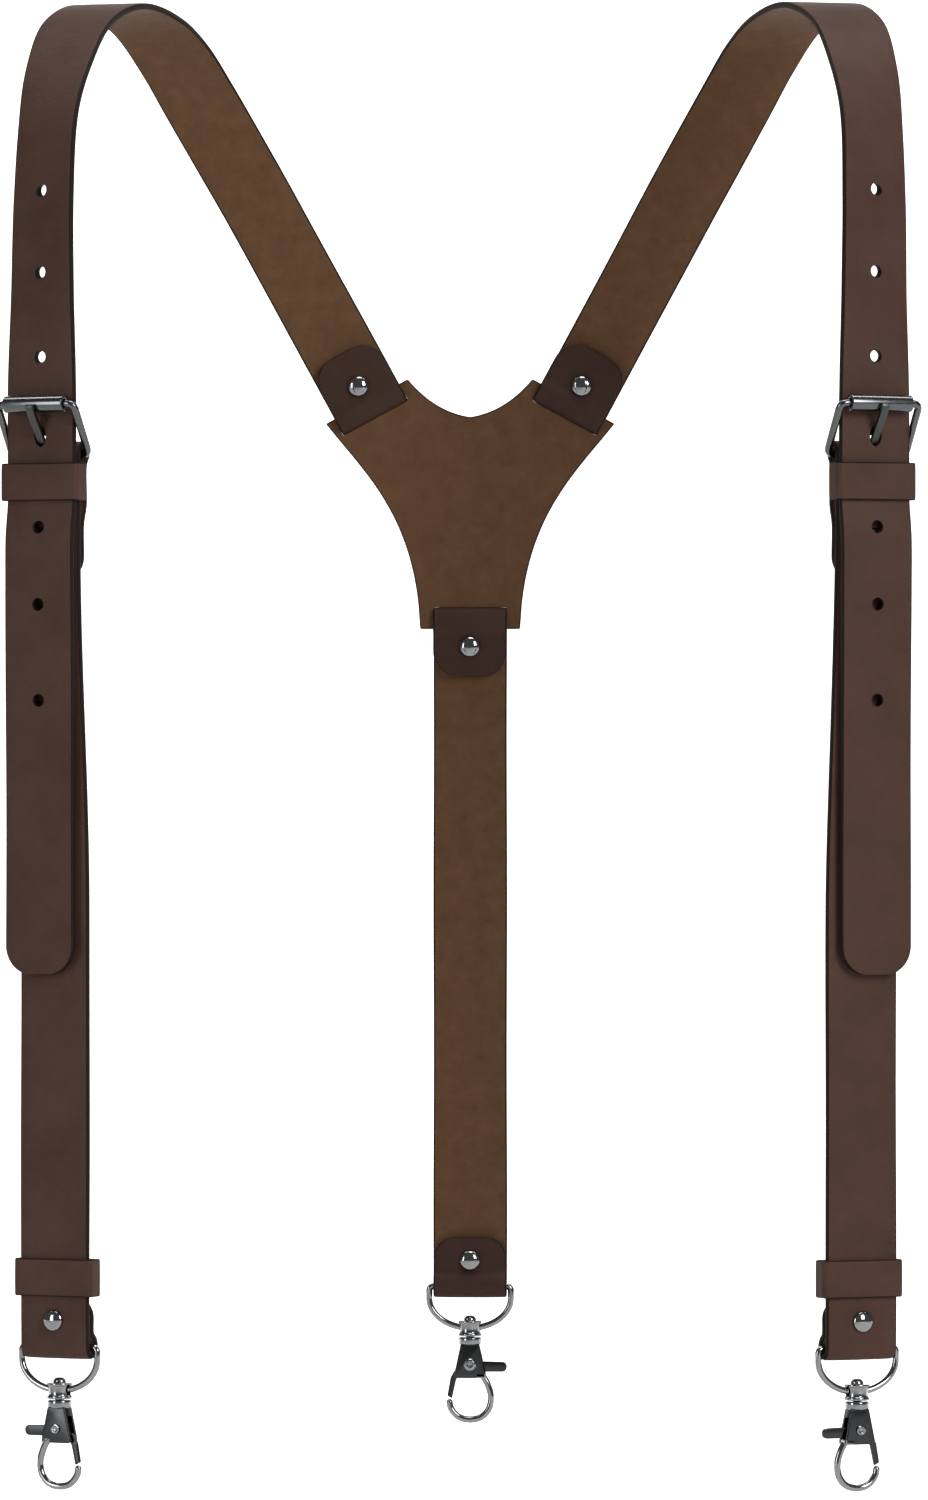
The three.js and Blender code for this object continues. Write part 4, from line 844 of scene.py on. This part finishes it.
# ---- D-ring and snap hook ----
def d_ring(name, place):
    turn = np.linspace(0, math.pi / 2, 9)
    right = np.column_stack([RING_HALF_WIDTH - RING_CORNER * (1 - np.sin(turn)),
                             -RING_CORNER * (1 - np.cos(turn))])
    sweep = np.linspace(0, math.pi, 65)
    bow = np.column_stack([RING_HALF_WIDTH * np.cos(sweep),
                           -RING_STRAIGHT - (RING_DROP - RING_STRAIGHT) * np.sin(sweep)])
    flat = np.vstack([right, bow, (right * [-1, 1])[::-1]])
    line = np.column_stack([flat[:, 0], np.zeros(len(flat)), flat[:, 1]])
    skin = wire(line, Y, RING_WIRE, wrap=True, sides=24)
    ready(piece(f"{name}_d_ring", [skin], [NICKEL], place),
          f"{name}_ring", f"{name}_d_ring")


def swivel_eye(name, place):
    """A turned head with two flanges and a round knob, bored across for the ring's bow."""
    profile = [[0, 4.35], [1.3, 4.2], [2.1, 3.4], [2.2, 2.6], [4.1, 2.5], [4.15, 1.8], [3.65, 1.4],
               [3.65, -1.5], [4.15, -1.9], [4.15, -2.7], [1.2, -2.7], [1.2, -7.1], [1.75, -7.1],
               [1.75, -8.1], [0, -8.1]]
    thing = piece(f"{name}_swivel_eye", [turned(profile, 0.35)], [NICKEL], place)
    carved(thing, [drill(RING_WIRE + 0.65, (0, 0, 0.2), X, reach=7, flare=0.3, half=3.6)], place)
    ready(thing, f"{name}_eye", f"{name}_swivel_eye")


def hook(name, place):
    cheek = np.array([[-3.2, -5.4], [-5.5, -16.2], [-4.7, -17], [5.3, -17], [5.5, -16.2], [3.2, -5.4]])
    skin = plate(even_outline(cheek, 0.15, 0.9), -2.65, 2.65, 0.5)
    thing = piece(f"{name}_hook_body", [skin], [SHADED_NICKEL], place)
    carved(thing, [block((-8, -1.1, -18.2), (8, 1.8, -8.2)), drill(1.5, (0, 0, -6), Z, reach=1.5, half=0.5),
                   drill(2.1, (0, 0, -7.7), Z, reach=0.95, half=0.3), drill(1.2, (0, 0, -12.3), Y)], place)
    ready(thing, f"{name}_hook", f"{name}_hook_body", "cheeks")

    collar = turned([[1.5, -3], [3.6, -3], [4, -3.4], [4, -5.1], [3.3, -5.8], [1.5, -5.8]], 0.25, wrap=True)
    root = plate(softened([[2.1, -17], [5.3, -17], [5.3, -15.3], [2.1, -15.3]], 0.3), -2.65, 2.65, 0.3)
    route = flowing([[4.2, 0, -16], [5.9, 0, -19], [7.05, 0, -23], [6.5, 0, -27.2], [3.9, 0, -30.2],
                     [0, 0, -31.15], [-3.9, 0, -30.2], [-6.5, 0, -27.2], [-7.1, 0, -24.1]], 12)
    claw = piece(f"{name}_hook_claw", [collar, root, wire(route, Y, 1.15, sides=24)], [NICKEL], place)
    ready(claw, f"{name}_hook", f"{name}_hook_body", "claw")

    thumb = np.vstack([
        parabola([0.6, -10.2], [2, -10.6], [4.5, -11.3]), [[4.5, -11.3], [11, -11.5]],
        parabola([11, -11.5], [12.6, -11.7], [12.5, -13.2]),
        parabola([12.5, -13.2], [12.5, -14.7], [11, -14.9]),
        [[11, -14.9], [3, -14.9]], parabola([3, -14.9], [0, -15.1], [-1.6, -14.6]),
        parabola([-1.6, -14.6], [-4, -15.6], [-4.8, -18]),
        [[-4.8, -18], [-6.1, -24], [-7.75, -23.05], [-6.7, -17]],
        parabola([-6.7, -17], [-5, -13.2], [-2.2, -12]), parabola([-2.2, -12], [-1.6, -10.2], [0.6, -10.2])])
    skin = plate(even_outline(thumb, 0.15, 0.4), -0.8, 0.8, 0.35)
    lever = piece(f"{name}_gate_lever", [skin], [SHADED_NICKEL], place)
    carved(lever, [drill(1.2, (0, 0, -12.3), Y, half=0.3)], place)
    ready(lever, f"{name}_lever", f"{name}_gate_lever")

    face = 2.65 + 0.25
    pin = [[0, face + 0.15], [0.75, face + 0.15], [1.05, face + 0.7], [1.6, face + 0.6], [2.1, face + 0.15],
           [2.1, face], [0.9, face], [0.9, -face], [1.6, -face], [1.55, -face - 0.45], [0.95, -face - 0.5],
           [0.75, -face - 0.1], [0, -face - 0.1]]
    where = shifted(place, (0, 0, -12.3))
    skin = turned(np.array(pin) * [1, -1], 0.2, axis="y", sides=40)
    ready(piece(f"{name}_lever_pin", [skin], [NICKEL], where),
          f"{name}_hook", f"{name}_lever_pin")

    turn = np.linspace(0, 2 * math.pi * 1.6, 90)
    r = 1.45 + 0.62 * turn / (2 * math.pi)
    coil = np.column_stack([r * np.cos(turn), np.full(90, 1.3), r * np.sin(turn)])
    ready(piece(f"{name}_gate_spring", [wire(coil, Y, 0.2, sides=10)], [SPRING], where),
          f"{name}_hook", f"{name}_gate_spring")


def hardware(name, place, origin, facing):
    ring_place = shifted(place, origin)
    d_ring(name, ring_place)
    hook_place = shifted(place, np.asarray(origin, float) - [0, 0, RING_DROP], facing)
    swivel_eye(name, hook_place)
    hook(name, hook_place)


# ---- the object ----
yoke()
rear_strap()
rivet("yoke_stem_rivet", 2 * MAIN_OFFSET + LEATHER,
      (0, BACK_Y - MAIN_OFFSET - LEATHER / 2, STEM_RIVET_Z), same)
rivet("rear_ring_rivet", LAYER_STEP + LEATHER,
      (0, REAR_MAIN_Y - LAYER_STEP - LEATHER / 2, REAR_RIVET_Z), same)
hardware("rear", same, (0, REAR_RING_Y, REAR_RING_Z), 1)
for side, name in ((-1, "left"), (1, "right")):
    place = front_place(side)
    shift = -side * LOWER_SHIFT
    shoulder_strap(side, name)
    lower_strap(side, name)
    arm_x, _, arm_z = arm_point(ARM_RIVET, 0)
    rivet(f"{name}_yoke_rivet", 2 * MAIN_OFFSET + LEATHER + GAP,
          (-side * arm_x, BACK_Y - MAIN_OFFSET - LEATHER / 2 - GAP, arm_z), same)
    keeper(f"{name}_upper_keeper", "harness", shifted(place, (0, 0, UPPER_KEEPER_TOP - KEEPER_HEIGHT / 2)))
    keeper(f"{name}_lower_keeper", f"{name}_keeper", shifted(place, (shift, LOWER_FRONT_Y, LOWER_KEEPER_Z)))
    rivet(f"{name}_buckle_rivet", LAYER_STEP + LEATHER,
          (0, LOWER_FRONT_Y - LEATHER / 2, BUCKLE_RIVET_Z), place, HIDDEN_DOME)
    rivet(f"{name}_ring_rivet", LAYER_STEP + LEATHER,
          (shift, LOWER_FRONT_Y - LEATHER / 2, FRONT_RIVET_Z), place)
    buckle(side, name)
    hardware(f"{name}_front", place, (shift, FRONT_RING_Y, FRONT_RING_Z), -1)


# ---- floor, light and camera ----
def studio():
    """A pale floor, and a backdrop that sweeps up behind it: height = r (1 - cos t), then straight up."""
    t = np.linspace(0, math.pi / 2, 24)
    low, join, back, r = -0.56, 0.4, 4.2, 1.0
    y = np.concatenate([[join, back], back + r * np.sin(t[1:]), [back + r]])
    z = np.concatenate([[low, low], low + r * (1 - np.cos(t[1:])), [3.5]])
    for name, ys, zs, glow in (("studio_floor", np.array([-5.0, join]), np.array([low, low]), 0.0),
                               ("studio_backdrop", y, z, 1.0)):
        grid = np.broadcast_arrays(np.array([[-6.0, 6.0]]), ys[:, None], zs[:, None])
        grid = np.stack(grid, -1).reshape(-1, 3)
        quads = (np.arange(len(ys) - 1)[:, None] * 2 + np.array([[0, 1, 3, 2]])).tolist()
        mesh = bpy.data.meshes.new(name)
        mesh.from_pydata(grid.tolist(), [], quads)
        mesh.polygons.foreach_set("use_smooth", np.ones(len(quads), bool))
        pale, shader = principled("pale_" + name, (0.84, 0.84, 0.84), 0.9)
        shader.inputs["Emission Color"].default_value = (1, 1, 1, 1)
        shader.inputs["Emission Strength"].default_value = glow
        mesh.materials.append(pale)
        thing = bpy.data.objects.new(name, mesh)
        bpy.context.scene.collection.objects.link(thing)


def soft_light(name, at, aim, width, height, power):
    lamp = bpy.data.lights.new(name, "AREA")
    lamp.shape, lamp.size, lamp.size_y, lamp.energy = "RECTANGLE", width, height, power
    holder = bpy.data.objects.new(name, lamp)
    holder.location = at
    gaze = np.asarray(aim, float) - np.asarray(at, float)
    holder.rotation_euler = aimed(gaze)
    bpy.context.scene.collection.objects.link(holder)


def aimed(gaze):
    """Turns that point an object's -Z along a direction with its +Y upward."""
    flat = math.hypot(gaze[0], gaze[1])
    return (math.pi / 2 + math.atan2(gaze[2], flat), 0, math.atan2(gaze[1], gaze[0]) - math.pi / 2)


studio()
soft_light("key", (1.7, -2.1, 0.9), (0, 0, -0.25), 1.0, 1.4, 41)
soft_light("fill", (-2.2, -2.0, 0.1), (0, 0, -0.25), 0.8, 1.8, 18.5)
soft_light("top", (0.2, -0.3, 2.2), (0, 0, -0.2), 1.2, 0.9, 15)
soft_light("back_wash", (0, 0.4, 1.6), (0, 2.2, 0.2), 2.6, 0.8, 40)

world = bpy.data.worlds.new("studio_air")
world.use_nodes = True
world.node_tree.nodes["Background"].inputs["Color"].default_value = (1, 1, 1, 1)
world.node_tree.nodes["Background"].inputs["Strength"].default_value = 0.1
bpy.context.scene.world = world
bpy.context.scene.view_settings.view_transform = "Standard"

lens = bpy.data.cameras.new("camera")
lens.sensor_fit, lens.sensor_height, lens.lens = "VERTICAL", 24.0, 148.24
eye_point = bpy.data.objects.new("camera", lens)
swing = math.radians(1.6)
eye_point.location = (3.075 * math.sin(swing), -3.075 * math.cos(swing), -0.2455)
eye_point.rotation_euler = (math.pi / 2, 0, swing)
bpy.context.scene.collection.objects.link(eye_point)
bpy.context.scene.camera = eye_point
